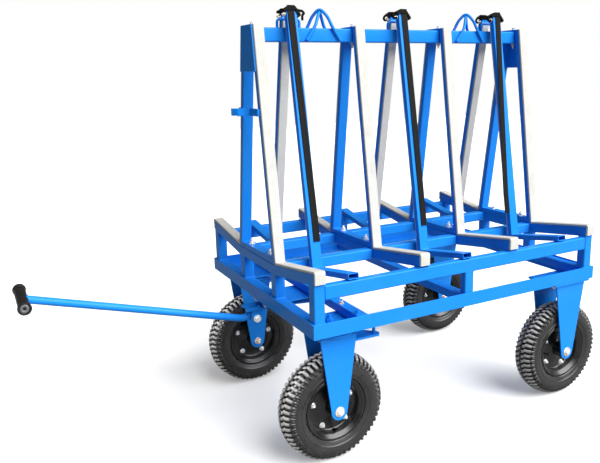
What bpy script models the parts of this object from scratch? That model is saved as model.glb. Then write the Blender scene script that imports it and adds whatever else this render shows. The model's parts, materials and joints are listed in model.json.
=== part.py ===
"""Slab transport frame: a four-wheeled A-frame trolley for stone slabs.

Metres, +Z up. +X points away from the drawbar, -Y is the near long side. Everything is laid out about the
middle of the chassis; the parent empty "trolley" then moves it so that the origin is the bottom centre of
the whole object, drawbar included.
"""
from math import atan2, cos, hypot, pi, radians, sin, tan

import bmesh
import bpy
from mathutils import Vector

# Clearances
GAP = 0.0003                # between pieces that touch
RUN = 0.0005                # round a pin that turns
WELD = 0.001                # how far welded shapes sink into each other

# Lower frame: angle iron, upright leg outside
LOWER_LENGTH = 1.300
LOWER_WIDTH = 0.970
LOWER_Z = 0.505
ANGLE_LEG = 0.050
ANGLE_T = 0.006
CREVICE = 0.002             # between the angle's upright leg and a post
CROSS_W = 0.040             # cross members
CROSS_H = 0.030
CROSS_IN = 0.210            # front cross member, from the frame's front

# Upper frame
RAIL_TOP = 0.681
RAIL_H = 0.050
RAIL_W = 0.030
TUBE = 0.040                # ribs, posts, inner rails and legs, across
POST = 0.040
SILL_H = 0.040              # tube under the posts of an end rib
RIB_HALF_BASE = 0.170       # level middle stretch of a rib, to its outer edge
ARM_RISE = radians(8.2)     # arms from the level

# A-frames
LEG_D = 0.020
FOOT_H = 0.020
SADDLE_T = 0.008
A_FRAME_TOP = 1.525
LEG_TOP_HALF = 0.0484       # a leg's outer face from the middle, at the top
GUSSET_T = 0.006
GUSSET_SHARE = 0.192        # of the legs' height
RUBBER_T = 0.008
FLAP_END = 0.004            # bare arm below the rubber's end flap

# Top beam, its bails and lifting eyes
BEAM_W = 0.050
BEAM_H = 0.050
CORNER = 0.004
BAIL_W = 0.100
BAIL_H = 0.036
BAIL_ROD = 0.010
BAIL_BEND = 0.012
EYE_SHARE = 0.545           # place of an eye on the half beam
EYE_ROD = 0.012
EYE_HALF = 0.070            # foot of an eye's rod from its middle
EYE_RISE = 0.073            # above the beam

# Securing bars
BAR_LEAN = radians(10.0)
BAR_SHARE = 0.7477          # place of the outer bars on the half length
BAR_SHIFT = 0.014           # near bars to -X, far bars to +X
BAR_W = 0.040
BAR_D = 0.020
BAR_WALL = 0.0025
BAR_LENGTH = 0.925
BAR_FROM_END = 0.030        # inner face of the bar from its foot tube's inner end
BAR_RUBBER_W = 0.036
BAR_RUBBER_END = 0.012      # bare bar above the rubber
GUIDE_LENGTH = 0.210
GUIDE_CLEAR = 0.001
BAR_STOP = 0.001            # foot tube from the inner rail when pushed home

# Wheels
TYRE_R = 0.200
TYRE_W = 0.100
TYRE_SIDES = 32
LUG = 0.006
RIM_SIDES = 20
RIM_W = 0.085
RIM_SEAT_R = 0.1035
RIM_FLANGE_R = 0.117
RIM_DRUM_R = 0.084
RIM_DISC_T = 0.010
HUB_R = 0.030
WHEEL_IN_FRONT = 0.120      # axles, from the lower frame's ends
WHEEL_IN_REAR = 0.115
TRACK_IN_FRONT = 0.116      # wheel middles, from the lower frame's sides
TRACK_IN_REAR = 0.076
AXLE_R = 0.010
AXLE_HEAD_R = 0.016
AXLE_HEAD_T = 0.009
ROUND_SIDES = 16

# Forks and what carries them
FORK_GAP = 0.120            # between the two cheeks
CHEEK_T = 0.006
CHEEK_END_R = 0.031
FRONT_CHEEK_W = 0.138
REAR_CHEEK_W = 0.158
PLATE_T = 0.008
SWIVEL_PLATE_X = 0.200
SWIVEL_PLATE_Y = 0.190
REAR_PLATE_X = 0.190
REAR_PLATE_Y = 0.150
DISC_R = 0.085
DISC_T = 0.018
CROWN_T = 0.012
KING_R = 0.012
KING_NUT_R = 0.020
KING_NUT_T = 0.013

# Steering: levers of the same length and direction on both forks and on the steering plate
LEVER_X = 0.150
LEVER_Y = 0.050
LEVER_Z = 0.447
LEVER_T = 0.008
LEVER_END_R = 0.020
LEVER_PIN_R = 0.006
ROD_W = 0.024
ROD_T = 0.011
STEER_IN = 0.090            # king pin of the steering plate, from the frame's front
STEER_T = 0.008
SPACER_R = 0.030
SPACER_T = 0.0165
MOUNT_W = 0.160
PRONG_REACH = 0.140         # from the king pin to the tips of the prongs
PRONG_W = 0.018
EAR_T = 0.008
EAR_R = 0.022
CLEVIS_REACH = 0.100        # from the king pin to the clevis pin
CLEVIS_DROP = 0.044         # clevis pin under the steering plate's middle
CLEVIS_PIN_R = 0.008
CLEVIS_HEAD_R = 0.015
CLEVIS_HEAD_T = 0.009

# Drawbar
DRAWBAR_R = 0.0135
DRAWBAR_RISE = radians(15.9)
DRAWBAR_REACH = 0.832       # clevis pin to handle, along the tube
DRAWBAR_OFFSET = 0.012      # the tube's line passes this far under the pin
EYE_BOSS_R = 0.018
EYE_BOSS_W = 0.033
HANDLE_W = 0.225
GRIP_R = 0.018
GRIP_FLANGE_R = 0.0215
GRIP_FLANGE_T = 0.009
GRIP_RIB = 0.0012
GRIP_RIBS = 3
CLIP_UNDER = 0.048          # middle of the clip under the raised handle
CLIP_H = 0.026
CLIP_T = 0.010
CLIP_REACH = 0.048
CLIP_PRONG_T = 0.005
CLIP_IN = 0.0024            # ends of the clip's tie inside the legs' outer faces
CLIP_FLARE = 0.014

# Places that follow from the sizes above
HALF_L = LOWER_LENGTH / 2
HALF_W = LOWER_WIDTH / 2
INSET = ANGLE_T + CREVICE
TOP_HALF_L = HALF_L - INSET
TOP_HALF_W = HALF_W - INSET
CROSS_X = HALF_L - CROSS_IN
WHEEL_X_FRONT = WHEEL_IN_FRONT - HALF_L
WHEEL_X_REAR = HALF_L - WHEEL_IN_REAR
TRACK_FRONT = LOWER_WIDTH - 2 * TRACK_IN_FRONT
TRACK_REAR = LOWER_WIDTH - 2 * TRACK_IN_REAR
STEER_X = STEER_IN - HALF_L
EYE_X = EYE_SHARE * TOP_HALF_L
FLANGE_TOP = LOWER_Z + ANGLE_T
RAIL_INNER = TOP_HALF_W - RAIL_W
RIB_BOTTOM = RAIL_TOP + GAP - (RAIL_INNER - RIB_HALF_BASE) * tan(ARM_RISE)
RIB_TOP = RIB_BOTTOM + TUBE
LEG_LEAN = atan2(RIB_HALF_BASE - LEG_TOP_HALF, A_FRAME_TOP - RIB_TOP)
RIB_X = [-TOP_HALF_L + TUBE / 2 + i * (2 * TOP_HALF_L - TUBE) / 3 for i in range(4)]
BAR_X = [k * BAR_SHARE * TOP_HALF_L for k in (-1, 0, 1)]
BEAM_TOP = A_FRAME_TOP - SADDLE_T - GAP
BEAM_BOTTOM = BEAM_TOP - BEAM_H
AXLE_Z = TYRE_R * cos(pi / TYRE_SIDES)
FORK_HALF = FORK_GAP / 2 + CHEEK_T
PLATE_BOTTOM = LOWER_Z - GAP - PLATE_T
DISC_BOTTOM = PLATE_BOTTOM - DISC_T
CROWN_TOP = DISC_BOTTOM - GAP
CROWN_BOTTOM = CROWN_TOP - CROWN_T
STEER_TOP = PLATE_BOTTOM - SPACER_T - GAP
STEER_BOTTOM = STEER_TOP - STEER_T
ROD_Z = STEER_TOP + 0.002
ROD_PIN_TOP = ROD_Z + ROD_T + 0.002
CLEVIS_X = STEER_X - CLEVIS_REACH
CLEVIS_Z = STEER_TOP - CLEVIS_DROP
CLIP_Z = CLEVIS_Z + DRAWBAR_REACH - CLIP_UNDER
PRONG_GAP = DRAWBAR_R + 0.003
HANDLE_X = CLEVIS_X - DRAWBAR_REACH * cos(DRAWBAR_RISE) - DRAWBAR_OFFSET * sin(DRAWBAR_RISE)
HANDLE_Z = CLEVIS_Z + DRAWBAR_REACH * sin(DRAWBAR_RISE) - DRAWBAR_OFFSET * cos(DRAWBAR_RISE)
FRONT_END = HANDLE_X - GRIP_FLANGE_R
REAR_END = WHEEL_X_REAR + TYRE_R * cos(pi / TYRE_SIDES)
ORIGIN_SHIFT = -(FRONT_END + REAR_END) / 2
SIDES = (("near", -1), ("far", 1))

for old in list(bpy.data.objects):
    bpy.data.objects.remove(old, do_unlink=True)

trolley = bpy.data.objects.new("trolley", None)
trolley.location.x = ORIGIN_SHIFT
bpy.context.collection.objects.link(trolley)


# Materials

def paint(name, colour, roughness, metallic=0.0):
    material = bpy.data.materials.new(name)
    material.use_nodes = True
    shader = material.node_tree.nodes["Principled BSDF"]
    shader.inputs["Base Color"].default_value = (*colour, 1.0)
    shader.inputs["Roughness"].default_value = roughness
    shader.inputs["Metallic"].default_value = metallic
    return material


BLUE = paint("blue_enamel", (0.010, 0.185, 0.720), 0.35)
WHITE_RUBBER = paint("white_rubber", (0.78, 0.77, 0.74), 0.75)
TYRE_RUBBER = paint("tyre_rubber", (0.022, 0.022, 0.023), 0.80)
BLACK_ENAMEL = paint("black_enamel", (0.012, 0.012, 0.013), 0.25)
GRIP_RUBBER = paint("grip_rubber", (0.018, 0.018, 0.019), 0.70)
ZINC = paint("zinc_plate", (0.66, 0.66, 0.64), 0.32, 1.0)


# Shape helpers

def add_object(name, shape, material=BLUE):
    """A closed mesh from a bmesh, facing out, under the trolley's own empty."""
    bmesh.ops.recalc_face_normals(shape, faces=shape.faces)
    mesh = bpy.data.meshes.new(name)
    shape.to_mesh(mesh)
    shape.free()
    mesh.materials.append(material)
    made = bpy.data.objects.new(name, mesh)
    bpy.context.collection.objects.link(made)
    made.parent = trolley
    return made


def stacked(loops, closed_loop=True, capped=True, ring=False):
    """Skin a row of point loops of equal count: quads between them, faces over the two ends."""
    shape = bmesh.new()
    rows = [[shape.verts.new(p) for p in loop] for loop in loops]
    count = len(rows[0])
    pairs = list(zip(rows, rows[1:])) + ([(rows[-1], rows[0])] if ring else [])
    for low, high in pairs:
        for i in range(count if closed_loop else count - 1):
            j = (i + 1) % count
            shape.faces.new((low[i], low[j], high[j], high[i]))
    if capped and not ring:
        shape.faces.new(rows[0])
        shape.faces.new(rows[-1])
    return shape


def plain(x, a, b):
    return Vector((x, a, b))


def prism_x(name, outline, x0, x1, place=plain, material=BLUE):
    """An outline of (y, z) points drawn along X."""
    return add_object(name, stacked([[place(x, a, b) for a, b in outline] for x in (x0, x1)]), material)


def prism_y(name, outline, y0, y1, material=BLUE):
    """An outline of (x, z) points drawn along Y."""
    return add_object(name, stacked([[Vector((a, y, b)) for a, b in outline] for y in (y0, y1)]), material)


def prism_z(name, outline, z0, z1, material=BLUE):
    """An outline of (x, y) points drawn along Z."""
    return add_object(name, stacked([[Vector((a, b, z)) for a, b in outline] for z in (z0, z1)]), material)


def framed_prism(name, outer, inner, x0, x1, place=plain, material=BLUE):
    """An outer and an inner (y, z) outline of equal count, drawn along X with the inside left open."""
    loops = [[place(x, a, b) for a, b in line]
             for x, line in ((x0, outer), (x1, outer), (x1, inner), (x0, inner))]
    return add_object(name, stacked(loops, ring=True), material)


def box_outline(a0, a1, b0, b1):
    return [(a0, b0), (a1, b0), (a1, b1), (a0, b1)]


def rounded_box_outline(a0, a1, b0, b1, r):
    """A tube's section, its corners cut in two steps."""
    points = []
    for ca, cb, start in ((a1 - r, b1 - r, 0), (a0 + r, b1 - r, 90), (a0 + r, b0 + r, 180), (a1 - r, b0 + r, 270)):
        points += [(ca + r * cos(radians(start + t)), cb + r * sin(radians(start + t))) for t in (0, 45, 90)]
    return points


def arc(ca, cb, r, start, stop, steps):
    turns = [radians(start + (stop - start) * i / steps) for i in range(steps + 1)]
    return [(ca + r * cos(t), cb + r * sin(t)) for t in turns]


def mirrored(half):
    """A whole outline from its half with a >= 0, listed from the middle at the top to the middle below."""
    return half + [(-a, b) for a, b in reversed(half) if a > 1e-6]


def on_axis(centre, axis, r, turn, h):
    """A point at radius r, angle turn and height h of a turned piece."""
    c, s = r * cos(turn), r * sin(turn)
    local = {"y": (c, h, s), "z": (c, s, h)}[axis]
    return Vector(centre) + Vector(local)


def turned(name, profile, centre, axis, sides=ROUND_SIDES, material=BLUE, reach=None):
    """A closed (r, h) profile off the axis turned into a ring; reach(i, point) may change r on side i."""
    loops = []
    for i in range(sides):
        turn = 2 * pi * (i + 0.5) / sides
        loops.append([on_axis(centre, axis, reach(i, n) if reach else r, turn, h)
                      for n, (r, h) in enumerate(profile)])
    return add_object(name, stacked(loops, ring=True), material)


def turned_solid(name, profile, centre, axis, sides=ROUND_SIDES, material=BLUE):
    """A stepped shaft: (r, h) pairs from one end to the other, solid to its axis."""
    loops = [[on_axis(centre, axis, r, 2 * pi * (i + 0.5) / sides, h) for i in range(sides)] for r, h in profile]
    return add_object(name, stacked(loops), material)


def swept_rod(name, points, r, sides=8, material=BLUE):
    """A round rod along a row of points."""
    points = [Vector(p) for p in points]
    loops = []
    side = None
    for i, p in enumerate(points):
        ahead = (points[min(i + 1, len(points) - 1)] - points[max(i - 1, 0)]).normalized()
        if side is None:
            side = ahead.orthogonal().normalized()
        side = (side - ahead * side.dot(ahead)).normalized()
        other = ahead.cross(side)
        loops.append([p + r * (cos(2 * pi * k / sides) * side + sin(2 * pi * k / sides) * other)
                      for k in range(sides)])
    return add_object(name, stacked(loops), material)


def combine(base, others, operation):
    """Boolean with helper shapes, which stay in the file as hidden guides."""
    for other in others:
        step = base.modifiers.new(other.name, "BOOLEAN")
        step.operation = operation
        step.solver = "EXACT"
        step.object = other
        other.hide_render = True
        other.display_type = "WIRE"
    return base


def weld(base, *others):
    return combine(base, others, "UNION")


def cut(base, *others):
    return combine(base, others, "DIFFERENCE")


def pivot(name, point, pieces):
    """An empty on a joint's axis that carries the pieces, with their guides."""
    carrier = bpy.data.objects.new(name, None)
    carrier.location = point
    carrier.parent = trolley
    bpy.context.collection.objects.link(carrier)
    for piece in pieces:
        guides = [step.object for step in piece.modifiers if step.type == "BOOLEAN"]
        for moved in [piece] + guides:
            moved.data.transform(moved.matrix_basis)
            moved.location = (0, 0, 0)
            moved.data.transform(carrier.matrix_basis.inverted())
            moved.parent = carrier
    return carrier


def leaning(side, v0, z0, angle):
    """Local (along X, out along the slope, up across the slope) to world on one side of the frame."""
    def place(x, a, b):
        return Vector((x, side * (v0 + a * cos(angle) - b * sin(angle)), z0 + a * sin(angle) + b * cos(angle)))
    return place


# Lower frame: the angle's section runs round the four mitred corners

def make_lower_frame():
    section = [(0, 0), (ANGLE_LEG, 0), (ANGLE_LEG, ANGLE_T), (ANGLE_T, ANGLE_T), (ANGLE_T, ANGLE_LEG), (0, ANGLE_LEG)]
    loops = [[Vector((sx * (HALF_L - d), sy * (HALF_W - d), LOWER_Z + h)) for d, h in section]
             for sx, sy in ((-1, -1), (1, -1), (1, 1), (-1, 1))]
    frame = add_object("lower_frame", stacked(loops, ring=True))
    bars = []
    for label, x in (("front", -CROSS_X), ("mid", 0.0)):
        reach = RAIL_INNER - GAP if label == "mid" else HALF_W - ANGLE_T + WELD
        outline = box_outline(-reach, reach, FLANGE_TOP - WELD, FLANGE_TOP + CROSS_H)
        bars.append(prism_x(f"cross_member_{label}", outline, x - CROSS_W / 2, x + CROSS_W / 2))
    weld(frame, *bars)


# Ribs: a level middle, two arms that rise outwards, and under the two end ones posts on a sill

def arm_bottom(v):
    return RIB_BOTTOM + max(0.0, v - RIB_HALF_BASE) * tan(ARM_RISE)


def rib_outline(to_sill):
    half = [(0.0, RIB_TOP), (RIB_HALF_BASE, RIB_TOP), (TOP_HALF_W, arm_bottom(TOP_HALF_W) + TUBE)]
    if to_sill:
        half += [(TOP_HALF_W, FLANGE_TOP + GAP), (0.0, FLANGE_TOP + GAP)]
    else:
        half += [(TOP_HALF_W, arm_bottom(TOP_HALF_W)), (RIB_HALF_BASE, RIB_BOTTOM), (0.0, RIB_BOTTOM)]
    return mirrored(half)


def end_openings():
    """Gaps between the four posts of an end rib, over its sill."""
    sill = FLANGE_TOP + GAP + SILL_H
    middle, inner = RIB_HALF_BASE - POST, TOP_HALF_W - POST
    beside = [(RIB_HALF_BASE, sill), (inner, sill), (inner, arm_bottom(inner)), (RIB_HALF_BASE, RIB_BOTTOM)]
    return [box_outline(-middle, middle, sill, RIB_BOTTOM), beside, [(-v, z) for v, z in beside]]


def foot_line(v):
    """Middle height of a securing bar's foot tube, which lies on the side rail's inner edge."""
    return RAIL_TOP + GAP + (v - RAIL_INNER) * tan(BAR_LEAN) + BAR_D / 2 / cos(BAR_LEAN)


def bar_x(bay, side):
    return BAR_X[bay] + side * BAR_SHIFT


def make_ribs():
    inner_face = RIB_HALF_BASE - TUBE
    for i, x in enumerate(RIB_X):
        rib = prism_x(f"rib_{i + 1}", rib_outline(i in (0, 3)), x - TUBE / 2, x + TUBE / 2)
        if i in (0, 3):
            cut(rib, *[prism_x(f"end_opening_{i + 1}_{n}", gap, x - TUBE, x + TUBE)
                       for n, gap in enumerate(end_openings())])
        if i == 3:
            continue
        for label, side in SIDES:
            rail_outline = box_outline(side * inner_face, side * RIB_HALF_BASE, RIB_BOTTOM, RIB_TOP)
            rail_start = x + TUBE / 2 - WELD
            rail_end = RIB_X[i + 1] - TUBE / 2 - GAP
            rail = prism_x(f"inner_rail_{label}_{i + 1}", rail_outline, rail_start, rail_end)
            place = leaning(side, RIB_HALF_BASE, foot_line(RIB_HALF_BASE), BAR_LEAN)
            half_t = BAR_D / 2 - BAR_WALL - GUIDE_CLEAR
            half_w = BAR_W / 2 - BAR_WALL - GUIDE_CLEAR
            tongue_outline = box_outline(-TUBE / 2, GUIDE_LENGTH, -half_t, half_t)
            tongue_x = bar_x(i, side)
            tongue = prism_x(f"guide_{label}_{i + 1}", tongue_outline, tongue_x - half_w, tongue_x + half_w, place)
            weld(rib, rail, tongue)


# Side rails run between the end ribs and stand on a post at mid length

def make_side_rails():
    end = TOP_HALF_L - TUBE - GAP
    low = RAIL_TOP - RAIL_H
    post_foot = FLANGE_TOP + GAP
    outline = [(-end, RAIL_TOP), (-end, low), (-POST / 2, low), (-POST / 2, post_foot),
               (POST / 2, post_foot), (POST / 2, low), (end, low), (end, RAIL_TOP)]
    for label, side in SIDES:
        prism_y(f"side_rail_{label}", outline, side * RAIL_INNER, side * TOP_HALF_W)


# A-frames: foot tube, two leaning legs and a saddle plate, with a gusset outside each end one

def leg_face(z):
    return RIB_HALF_BASE - (z - RIB_TOP) * tan(LEG_LEAN)


def make_a_frames():
    foot = RIB_TOP + GAP
    leg_inside = LEG_D / cos(LEG_LEAN)
    floor = foot + FOOT_H
    roof = A_FRAME_TOP - SADDLE_T
    outer = [(leg_face(foot), foot), (leg_face(A_FRAME_TOP), A_FRAME_TOP),
             (-leg_face(A_FRAME_TOP), A_FRAME_TOP), (-leg_face(foot), foot)]
    inner = [(leg_face(floor) - leg_inside, floor), (leg_face(roof) - leg_inside, roof),
             (leg_inside - leg_face(roof), roof), (leg_inside - leg_face(floor), floor)]
    low = A_FRAME_TOP - GUSSET_SHARE * (A_FRAME_TOP - RIB_TOP)
    gusset_outline = [(leg_face(low), low), (leg_face(A_FRAME_TOP), A_FRAME_TOP),
                      (-leg_face(A_FRAME_TOP), A_FRAME_TOP), (-leg_face(low), low)]
    for i, x in enumerate(RIB_X):
        frame = framed_prism(f"a_frame_{i + 1}", outer, inner, x - TUBE / 2, x + TUBE / 2)
        if i in (0, 3):
            end = -1 if i == 0 else 1
            face = x + end * TUBE / 2
            weld(frame, prism_x(f"gusset_{i + 1}", gusset_outline, face - end * WELD, face + end * GUSSET_T))


# White rubber: down the outside of a leg, out along the arm and over the arm's end

def make_slab_rubbers():
    thick = GAP + RUBBER_T

    def over_arm(v, lift):
        return (v, arm_bottom(v) + TUBE + lift / cos(ARM_RISE))

    def valley(lift):
        across = lift / cos(LEG_LEAN) - lift / cos(ARM_RISE) * tan(LEG_LEAN)
        return over_arm(RIB_HALF_BASE + across / (1 + tan(ARM_RISE) * tan(LEG_LEAN)), lift)

    def leg_end(lift):
        return (leg_face(A_FRAME_TOP) + lift / cos(LEG_LEAN), A_FRAME_TOP)

    flap_low = arm_bottom(TOP_HALF_W) + FLAP_END
    outline = [valley(GAP), over_arm(TOP_HALF_W + GAP, GAP), (TOP_HALF_W + GAP, flap_low),
               (TOP_HALF_W + thick, flap_low), over_arm(TOP_HALF_W + thick, thick), valley(thick),
               leg_end(thick), leg_end(GAP)]
    for label, side in SIDES:
        for i, x in enumerate(RIB_X):
            prism_x(f"slab_rubber_{label}_{i + 1}", [(side * v, z) for v, z in outline],
                    x - TUBE / 2, x + TUBE / 2, material=WHITE_RUBBER)


# Top beam with a strap bail over each bay, and the two lifting eyes

def make_top_beam():
    end = TOP_HALF_L - WELD - GAP
    outline = rounded_box_outline(-BEAM_W / 2, BEAM_W / 2, BEAM_BOTTOM, BEAM_TOP, CORNER)
    beam = prism_x("top_beam", outline, -end, end)
    r = BAIL_ROD / 2
    half = BAIL_W / 2 - r
    top = BEAM_TOP + BAIL_H - r
    for i, x in enumerate(BAR_X):
        bend = arc(half - BAIL_BEND, top - BAIL_BEND, BAIL_BEND, 0, 90, 3)
        right = [(half, BEAM_TOP - 0.003)] + bend
        path = [Vector((x + a, 0, b)) for a, b in right] + [Vector((x - a, 0, b)) for a, b in reversed(right)]
        weld(beam, swept_rod(f"bail_{i + 1}", path, r))


def make_lifting_eyes():
    r = EYE_ROD / 2
    face = BEAM_W / 2 + r + GAP
    apex = BEAM_TOP + EYE_RISE - r
    shoulder = BEAM_TOP + 0.004
    half_top = EYE_HALF * (apex - shoulder) / (apex - BEAM_BOTTOM)
    for label, x in (("front", -EYE_X), ("rear", EYE_X)):
        rods = []
        for name, turn, drop in (("upper", 1, 0.0), ("lower", -1, 0.8 * EYE_ROD)):
            high = apex - drop
            leg = [(EYE_HALF, face, BEAM_BOTTOM + r), (half_top, face, shoulder),
                   (0.45 * half_top, 0.55 * face, high - 0.014), (0.18 * half_top, 0.22 * face, high - 0.002)]
            path = [Vector((x + turn * a, -b, c)) for a, b, c in leg]
            path += [Vector((x - turn * a, b, c)) for a, b, c in reversed(leg)]
            rods.append(swept_rod(f"lifting_eye_{label}" + ("" if name == "upper" else "_guide"), path, r))
        weld(*rods)


# Securing bars: a hollow foot tube that slides on the guide tongue, with the upright welded on top

def make_securing_bars():
    half_d, half_w = BAR_D / 2, BAR_W / 2
    bore_d, bore_w = half_d - BAR_WALL, half_w - BAR_WALL
    start = RIB_HALF_BASE + BAR_STOP + half_d * sin(BAR_LEAN)
    foot_length = (TOP_HALF_W - start) / cos(BAR_LEAN)
    bar_in = BAR_FROM_END
    for label, side in SIDES:
        for bay in range(3):
            x = bar_x(bay, side)
            place = leaning(side, start, foot_line(start), BAR_LEAN)

            def section(a, w, d):
                return [place(x + sx * w, a, sd * d) for sx, sd in ((-1, -1), (1, -1), (1, 1), (-1, 1))]

            tube = stacked([section(0, half_w, half_d), section(foot_length, half_w, half_d),
                            section(foot_length, bore_w, bore_d), section(0, bore_w, bore_d)], ring=True)
            foot = add_object(f"securing_bar_{label}_{bay + 1}", tube)
            upright_outline = box_outline(bar_in, bar_in + BAR_D, half_d - WELD, half_d + BAR_LENGTH)
            upright = prism_x(f"upright_{label}_{bay + 1}", upright_outline, x - half_w, x + half_w, place)
            weld(foot, upright)
            rubber_outline = box_outline(bar_in - GAP - RUBBER_T, bar_in - GAP,
                                         half_d + GAP, half_d + BAR_LENGTH - BAR_RUBBER_END)
            rubber = prism_x(f"bar_rubber_{label}_{bay + 1}", rubber_outline, x - BAR_RUBBER_W / 2,
                             x + BAR_RUBBER_W / 2, place, WHITE_RUBBER)
            pivot(f"bar_{label}_{bay + 1}_slide", place(x, 0, 0), [foot, rubber])


# Wheels: lugged tyre on a dished rim with its hub

def tyre_profile():
    half = TYRE_W / 2
    bead = RIM_W / 2 - 0.008
    side = [(RIM_SEAT_R + RUN, -bead), (RIM_FLANGE_R + 0.0015, -bead), (RIM_FLANGE_R + 0.011, -0.88 * half),
            (0.76 * TYRE_R, -half), (0.92 * TYRE_R, -0.94 * half), (0.965 * TYRE_R, -0.80 * half),
            (TYRE_R, -0.40 * half)]
    return side + [(r, -h) for r, h in reversed(side)]


def rim_profile():
    w, d, hub = RIM_W / 2, RIM_DISC_T / 2, FORK_GAP / 2 - 0.002
    side = [(AXLE_R + RUN, -hub), (HUB_R, -hub), (HUB_R, -d), (RIM_DRUM_R, -d), (RIM_DRUM_R + 0.005, 0.004 - w),
            (RIM_FLANGE_R - 0.003, -w), (RIM_FLANGE_R, 0.003 - w), (RIM_SEAT_R, 0.006 - w)]
    return side + [(r, -h) for r, h in reversed(side)]


def make_wheel(label, x, y):
    centre = (x, y, AXLE_Z)
    profile = tyre_profile()
    last = len(profile) - 1
    shoulders = (4, 5)

    def reach(i, n):
        r = profile[n][0]
        left, right = n in shoulders, last - n in shoulders
        if (left and i % 2) or (right and not i % 2):
            return r - LUG
        return r

    tyre = turned(f"tyre_{label}", profile, centre, "y", TYRE_SIDES, TYRE_RUBBER, reach)
    rim = turned(f"rim_{label}", rim_profile(), centre, "y", RIM_SIDES, BLACK_ENAMEL)
    pivot(f"wheel_{label}_spin", centre, [tyre, rim])


def make_axle(name, x, y, side):
    """A bolt through the fork with its head outside and its nut inside."""
    reach = FORK_HALF + GAP
    head = reach + AXLE_HEAD_T
    profile = [(AXLE_HEAD_R, head), (AXLE_HEAD_R, reach), (AXLE_R, reach), (AXLE_R, -reach),
               (AXLE_HEAD_R, -reach), (AXLE_HEAD_R, -head)]
    return turned_solid(name, [(r, side * h) for r, h in profile], (x, y, AXLE_Z), "y", material=ZINC)


# Forks: two cheeks that taper to a round end at the axle

def cheek_outline(width, top):
    """(x, z) about the axle line, straight edges running into the round end."""
    half, rise = width / 2, top - AXLE_Z
    away = hypot(half, rise)
    turn = atan2(rise, half) - pi / 2 + (pi / 2 - atan2((away ** 2 - CHEEK_END_R ** 2) ** 0.5, CHEEK_END_R))
    start = turn * 180 / pi
    end_arc = arc(0.0, AXLE_Z, CHEEK_END_R, start, -180 - start, 8)
    return [(half, top)] + end_arc + [(-half, top)]


def make_cheeks(prefix, x, y, width, top):
    outline = [(x + a, b) for a, b in cheek_outline(width, top)]
    inner, outer = FORK_GAP / 2, FORK_HALF
    return [prism_y(f"{prefix}_{name}", outline, y + s * inner, y + s * outer)
            for name, s in (("cheek_a", -1), ("cheek_b", 1))]


def axle_hole(name, x, y):
    return turned_solid(name, [(AXLE_R + RUN, -FORK_GAP), (AXLE_R + RUN, FORK_GAP)], (x, y, AXLE_Z), "y")


def make_rear_fork(label, side):
    x, y = WHEEL_X_REAR, side * TRACK_REAR / 2
    plate_outline = box_outline(x - REAR_PLATE_X / 2, x + REAR_PLATE_X / 2, y - REAR_PLATE_Y / 2, y + REAR_PLATE_Y / 2)
    plate = prism_z(f"rear_fork_{label}", plate_outline, PLATE_BOTTOM, PLATE_BOTTOM + PLATE_T)
    weld(plate, *make_cheeks(f"rear_{label}", x, y, REAR_CHEEK_W, PLATE_BOTTOM + WELD))
    cut(plate, axle_hole(f"rear_{label}_hole", x, y))
    make_axle(f"rear_axle_{label}", x, y, side)
    make_wheel(f"rear_{label}", x, y)


def king_bolt(name, x, plate_low, spacer_r, spacer_low, carried_low, y):
    """Spacer disc, king bolt through the carried plate, and the nut under it, up into the fixed plate."""
    nut_top = carried_low - GAP
    profile = [(KING_NUT_R, nut_top - KING_NUT_T), (KING_NUT_R, nut_top), (KING_R, nut_top),
               (KING_R, spacer_low), (spacer_r, spacer_low), (spacer_r, plate_low + WELD)]
    return turned_solid(name, profile, (x, y, 0.0), "z")


def make_swivel_base(label, side):
    x, y = WHEEL_X_FRONT, side * TRACK_FRONT / 2
    outline = box_outline(x - SWIVEL_PLATE_X / 2, x + SWIVEL_PLATE_X / 2,
                          y - SWIVEL_PLATE_Y / 2, y + SWIVEL_PLATE_Y / 2)
    plate = prism_z(f"swivel_base_{label}", outline, PLATE_BOTTOM, PLATE_BOTTOM + PLATE_T)
    weld(plate, king_bolt(f"swivel_{label}_king", x, PLATE_BOTTOM, DISC_R, DISC_BOTTOM, CROWN_BOTTOM, y))


def make_front_fork(label, side):
    x, y = WHEEL_X_FRONT, side * TRACK_FRONT / 2
    half = FRONT_CHEEK_W / 2
    crown_outline = box_outline(x - half, x + half, y - FORK_HALF, y + FORK_HALF)
    fork = prism_z(f"front_fork_{label}", crown_outline, CROWN_BOTTOM, CROWN_TOP)
    cheeks = make_cheeks(f"front_{label}", x, y, FRONT_CHEEK_W, CROWN_BOTTOM + WELD)
    tip_x, tip_y = x + LEVER_X, y + side * LEVER_Y
    reach = FORK_HALF - WELD
    tip = arc(tip_x, tip_y, LEVER_END_R, -60, 60, 4)
    lever_outline = [(x + 0.3 * half, y - reach), (x + 0.7 * half, y - reach)] + tip + [
        (x + 0.7 * half, y + reach), (x + 0.3 * half, y + reach)]
    lever = prism_z(f"front_{label}_lever", lever_outline, LEVER_Z, LEVER_Z + LEVER_T)
    pin = turned_solid(f"front_{label}_lever_pin", [(LEVER_PIN_R, LEVER_Z + WELD), (LEVER_PIN_R, ROD_PIN_TOP)],
                       (tip_x, tip_y, 0.0), "z", 12)
    weld(fork, *cheeks, lever, pin)
    bore = turned_solid(f"front_{label}_bore", [(KING_R + RUN, CROWN_BOTTOM - WELD), (KING_R + RUN, CROWN_TOP + WELD)],
                        (x, y, 0.0), "z")
    cut(fork, bore, axle_hole(f"front_{label}_hole", x, y))
    axle = make_axle(f"front_axle_{label}", x, y, side)
    pivot(f"front_{label}_swivel", (x, y, CROWN_TOP), [fork, axle])
    make_wheel(f"front_{label}", x, y)


# Steering: king-pin mount, plate with prongs and clevis ears, pin, and the two tie rods

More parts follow.
